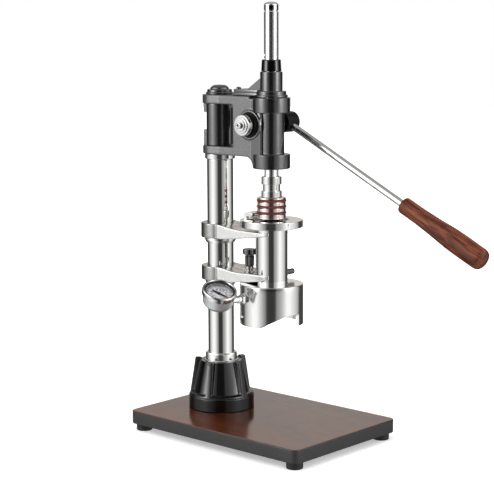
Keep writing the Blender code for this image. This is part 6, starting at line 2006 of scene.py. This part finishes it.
@dataclass
class Press:
    """The ram with its rack and cap, the coupling nut, the piston and its seals."""

    radius: float = 0.00785
    foot: float = 0.2563
    cap_foot: float = 0.4492
    cap_rim: float = 0.00651
    cap_dome: float = 0.00399
    cap_step: float = 0.0008
    dome_rows: int = 9
    pitch: float = 0.0015 * math.pi
    offset: float = 0.0047
    tooth: Band = (-0.0018, 0.00135)
    tooth_half: float = 0.27
    tooth_flank: float = 0.055
    teeth: Band = (-4.5, 16.5)
    rows_per_tooth: int = 14
    plain: Band = (0.002, 0.001)
    core: float = 0.004
    least: float = 0.05
    coupler_foot: float = 0.2485
    coupler: Rows = mm(
        (0, 0, 0), (11.4, 0, 0.4), (11.4, 6.8, 0.6), (9.6, 6.8, 0.4), (9.6, 13.8, 0.4), (11.2, 13.8, 0.6),
        (11.2, 22.5, 0.8), (8.2, 22.5, 0.3), (8.2, 20.5, 0), (0, 20.5, 0),
    )
    piston: tuple = (0.0158, 0.2243, 0.2482)
    piston_edges: Band = (0.001, 0.0006)
    groove: tuple = (0.0136, -0.0023, 0.0011, 0.0003)
    seals: tuple = (0.2318, 0.2386, 0.2453)
    seal: Triple = (0.0155, -0.0006, 0.0012)
    seal_steps: int = 16

    def rack(self, size: Array, height: Array, angle: Array) -> Array:
        """The radius cut back to a flat, d / cos(angle - back), where d follows the teeth.

        d runs between root and tip as a wave with straight flanks whose period is the pitch.

        Args:
            size: Distances from the ram's axis.
            height: Heights.
            angle: Angles about the axis.

        Returns:
            The new radius.
        """
        root, tip = (self.offset + depth for depth in self.tooth)
        along = (height + BOARD_TOP - PINION[2]) / self.pitch
        phase = (along + 0.5) % 1.0 - 0.5
        flank = (np.abs(phase) - self.tooth_half) / self.tooth_flank
        depth = root + (tip - root) * np.clip(flank + 0.5, 0.0, 1.0)
        on_rack = (along > self.teeth[0]) & (along < self.teeth[1]) & (size > self.core)
        facing = np.cos(angle - QUARTER)
        flat = np.where(facing > self.least, depth / np.maximum(facing, self.least), np.inf)
        return np.where(on_rack, np.minimum(size, flat), size)

    def ram(self) -> None:
        """The ram with close rows for its teeth, and its domed cap."""
        r, top = self.radius, self.cap_foot
        start, end = self.foot + self.plain[0], top - self.plain[1]
        rises = np.arange(start, end, self.pitch / self.rows_per_tooth)
        wall = [(r, rise) for rise in rises.tolist()]
        ram = [(0.0, self.foot), (r, self.foot), *wall, (r, top), (0.0, top)]
        turn("ram_rack", Stock.SOFT, AT_RAM, ram, 0.0, steps=96, wave=self.rack)
        step, rim = self.cap_step, self.cap_rim
        bend = np.linspace(0.0, QUARTER, self.dome_rows)[:-1]
        dome = [(r * math.cos(a), rim + self.cap_dome * math.sin(a), 0.0) for a in bend]
        foot = [(0.0, 0.0, 0.0), (r - step, 0.0, 0.0), (r - step, step, 0.0), (r, step, 0.0003)]
        cap = [*foot, *dome, (0.0, rim + self.cap_dome, 0.0)]
        turn("ram_cap", Stock.POLISH, AT_RAM, cap, base=top + GAP, steps=96)

    def grooved(self) -> list[Triple]:
        """The piston's profile.

        Returns:
            Radius, height and rounding of each corner.
        """
        wide, low, high = self.piston
        deep, under, over, edge = self.groove
        rows = [(0.0, low, 0.0), (wide, low, self.piston_edges[0])]
        for rise in self.seals:
            rows += [(wide, rise + under, edge), (deep, rise + under, 0.0)]
            rows += [(deep, rise + over, 0.0), (wide, rise + over, edge)]
        return [*rows, (wide, high, self.piston_edges[1]), (0.0, high, 0.0)]

    def build(self) -> None:
        """Turned pieces on the ram's axis."""
        self.ram()
        turn("piston_coupler", Stock.POLISH, AT_RAM, self.coupler, base=self.coupler_foot, steps=96)
        turn("piston", Stock.PISTON_PINK_REFLECTION, AT_RAM, self.grooved())
        middle, down, radius = self.seal
        last = ROUND * (1 - 1 / self.seal_steps)
        for number, rise in enumerate(self.seals, start=1):
            section = arc((middle, rise + down), radius, 0.0, last, self.seal_steps)
            turn(f"piston_seal_{number}", Stock.SEAL, AT_RAM, section, 0.0, ring=True)
        dress(Stock.SCREW, "piston_screw")


@dataclass
class Studio:
    """The floor, the light and the camera.

    The bands give a place round the camera's own heading, from 0 to 1 with 0.5 ahead of it, and the
    grey of the panels there. The lamps are tables of name, place, size and watts.
    """

    azimuth: float = math.radians(-47.58)
    elevation: float = math.radians(8.92)
    roll: float = math.radians(-0.23)
    camera_at: Triple = (-1.2419, -1.0441, 0.4725)
    lens: float = 110.85
    sensor: float = 36.0
    far: float = 50.0
    bands: tuple[Band, ...] = (
        (0.0, 0.46), (0.07, 0.18), (0.11, 0.06), (0.175, 0.08), (0.205, 0.5), (0.245, 0.84),
        (0.285, 1.06), (0.3, 1.2), (0.345, 1.2), (0.37, 0.98), (0.415, 0.5), (0.44, 0.295),
        (0.456, 0.057), (0.5, 0.04), (0.54, 0.054), (0.556, 0.335), (0.6, 0.54), (0.64, 0.92),
        (0.658, 1.18), (0.7, 1.18), (0.72, 1.0), (0.75, 0.88), (0.79, 0.62), (0.812, 0.45),
        (0.832, 0.07), (0.9, 0.06), (0.94, 0.18), (1.0, 0.46),
    )
    warmth: float = 0.94
    warm_from: float = 0.42
    fill: float = 0.55
    box_rise: Band = (0.02, 0.24)
    box_gain: float = 0.8
    level_low: Band = (-0.06, 0.0)
    level_high: Band = (0.1, 0.14)
    level_side: Band = (0.33, 0.38)
    level_power: int = 6
    level_gain: float = 2.2
    lid: float = 0.4
    lid_rise: Band = (0.62, 0.85)
    floor_size: float = 6.0
    floor_depth: float = 0.02
    floor_colour: Colour = (0.8, 0.8, 0.8)
    floor_rough: float = 0.8
    floor_shine: float = 0.2
    fibre: Grain = Grain(8.0, 3.0)
    glow: float = 0.42
    far_glow: float = 0.7
    glow_reach: Band = (0.12, 0.75)
    aim: Triple = (0.0, 0.05, 0.18)
    lamps: tuple = (
        ("key_light", (-1.3, -0.3, 1.5), 1.2, 17.0),
        ("fill_light", (0.6, -1.5, 1.1), 1.2, 9.0),
        ("top_light", (0.1, 0.6, 1.9), 1.4, 11.0),
    )

    def tone(self, place: float, grey: float) -> Colour:
        """A band's colour: its grey, slightly warm opposite the camera.

        Args:
            place: The band's place.
            grey: Its grey.

        Returns:
            The colour.
        """
        warm = self.warmth if abs(place - 0.5) > self.warm_from else 1.0
        return grey, grey * warm, grey * warm * warm

    def panels(self, graph: Graph) -> Wire:
        """What gloss and glass see: the bands, brighter upwards, paler at eye level, under a grey lid.

        Args:
            graph: The world's nodes.

        Returns:
            The colour.
        """
        x, y, z = graph.parts(graph.node("ShaderNodeTexCoord", output="Generated"))
        heading = math.atan2(self.camera_at[1], self.camera_at[0])
        ahead = x * math.cos(heading) + y * math.sin(heading)
        right = x * -math.sin(heading) + y * math.cos(heading)
        angle = right.heading(ahead) / ROUND + 0.5
        stops = [(place, self.tone(place, grey)) for place, grey in self.bands]
        ring = graph.node("ShaderNodeValToRGB", {"stops": stops}, [angle])
        boxes = z.ramp(*self.box_rise) * self.box_gain + 1
        gain = graph.node("ShaderNodeVectorMath", {"operation": "SCALE"}, {0: ring, "Scale": boxes})
        level = z.ramp(*self.level_low) * (1 - z.ramp(*self.level_high))
        level = level * (1 - abs(angle - 0.5).ramp(*self.level_side))
        sides = graph.mix(level, gain, ring ** self.level_power * self.level_gain)
        return graph.mix(z.ramp(*self.lid_rise), sides, shade(ONE, self.lid))

    def world(self) -> None:
        """White to the camera, panels to gloss and glass, a plain grey fill to everything else."""
        world = bpy.data.worlds.new("studio")
        bpy.context.scene.world = world
        world.use_nodes = True
        graph = Graph(world.node_tree)
        shiny = graph.ray("Is Glossy Ray").top(graph.ray("Is Transmission Ray"))
        tone = graph.mix(shiny, shade(ONE, self.fill), self.panels(graph))
        tone = graph.mix(graph.ray("Is Camera Ray"), tone, ONE)
        back = graph.node("ShaderNodeBackground", sockets={"Color": tone, "Strength": 1.0})
        graph.finish(back, "ShaderNodeOutputWorld")

    def paper(self) -> bpy.types.Material:
        """Pale paper that glows to the camera, more so further out.

        Returns:
            The material.
        """
        made = bpy.data.materials.new("floor_paper")
        made.use_nodes = True
        graph = Graph(made.node_tree)
        tint = graph.mix(graph.noise(self.fibre), self.floor_colour, shade(self.floor_colour, 1.02))
        sockets = {"Base Color": tint, "Roughness": self.floor_rough}
        sockets["Specular IOR Level"] = self.floor_shine
        paper = graph.node("ShaderNodeBsdfPrincipled", sockets=sockets)
        x, y, _ = graph.parts(graph.place())
        away = x.hypot(y).ramp(*self.glow_reach)
        tone = graph.mix(away, shade(ONE, self.glow), shade(ONE, self.glow + self.far_glow))
        glow = graph.node("ShaderNodeEmission", sockets={"Color": tone, "Strength": 1.0})
        both = graph.node("ShaderNodeAddShader", sockets=[paper, glow])
        surface = graph.node("ShaderNodeMixShader", sockets=[graph.ray("Is Camera Ray"), paper, both])
        graph.finish(surface, "ShaderNodeOutputMaterial")
        return made

    def floor(self) -> None:
        """A wide pale disc whose surface keeps the machine's shadow."""
        size, under = self.floor_size, -self.floor_depth
        rings = [(radius, 0.0) for radius in np.linspace(0.0, size, 6).tolist()]
        disc = turned(ORIGIN, [*rings, (size, under), (0.0, under)], 0.0, steps=96)
        made = mesh_of("floor", [disc], CREASE)
        made.data.materials.append(self.paper())
        made.visible_glossy = False

    def lamp(self, name: str, place: Triple, size: float, watts: float) -> None:
        """A soft square light that looks at the machine's middle and hides from gloss.

        Args:
            name: Its name.
            place: Where it hangs.
            size: Its side.
            watts: Its power.
        """
        light = bpy.data.lights.new(name, "AREA")
        light.shape, light.size, light.energy = "SQUARE", size, watts
        made = bpy.data.objects.new(name, light)
        made.location = place
        aim = Vector(self.aim) - Vector(place)
        made.rotation_euler = aim.to_track_quat("-Z", "Y").to_euler()
        made.visible_glossy = False
        bpy.context.scene.collection.objects.link(made)

    def camera(self) -> None:
        """The photograph's own view: place, angle, roll and lens."""
        a, e, r = self.azimuth, self.elevation, self.roll
        back = np.array([math.sin(a) * math.cos(e), -math.cos(a) * math.cos(e), math.sin(e)])
        level = np.array([math.cos(a), math.sin(a), 0.0])
        over = np.cross(back, level)
        right = level * math.cos(r) + over * math.sin(r)
        up = over * math.cos(r) - level * math.sin(r)
        data = bpy.data.cameras.new("camera")
        data.sensor_fit, data.sensor_width, data.lens = "HORIZONTAL", self.sensor, self.lens
        data.clip_end = self.far
        made = bpy.data.objects.new("camera", data)
        rows = np.stack([right, up, back, self.camera_at], 1)
        made.matrix_world = Matrix([*rows.tolist(), (0.0, 0.0, 0.0, 1.0)])
        bpy.context.scene.collection.objects.link(made)
        bpy.context.scene.camera = made

    def build(self) -> None:
        """World, floor, lamps, camera and the plain colour view."""
        bpy.context.scene.view_settings.view_transform = "Standard"
        self.world()
        self.floor()
        for lamp in self.lamps:
            self.lamp(*lamp)
        self.camera()


def main() -> None:
    """Builds every sub-assembly in order."""
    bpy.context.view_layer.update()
    for kind in (Studio, Board, Foot, Column, Arms, Knob, Brewer, Gauge, Head, Lever, Press):
        LOG.info("building %s", kind.__name__)
        kind().build()


if __name__ == "__main__":
    main()
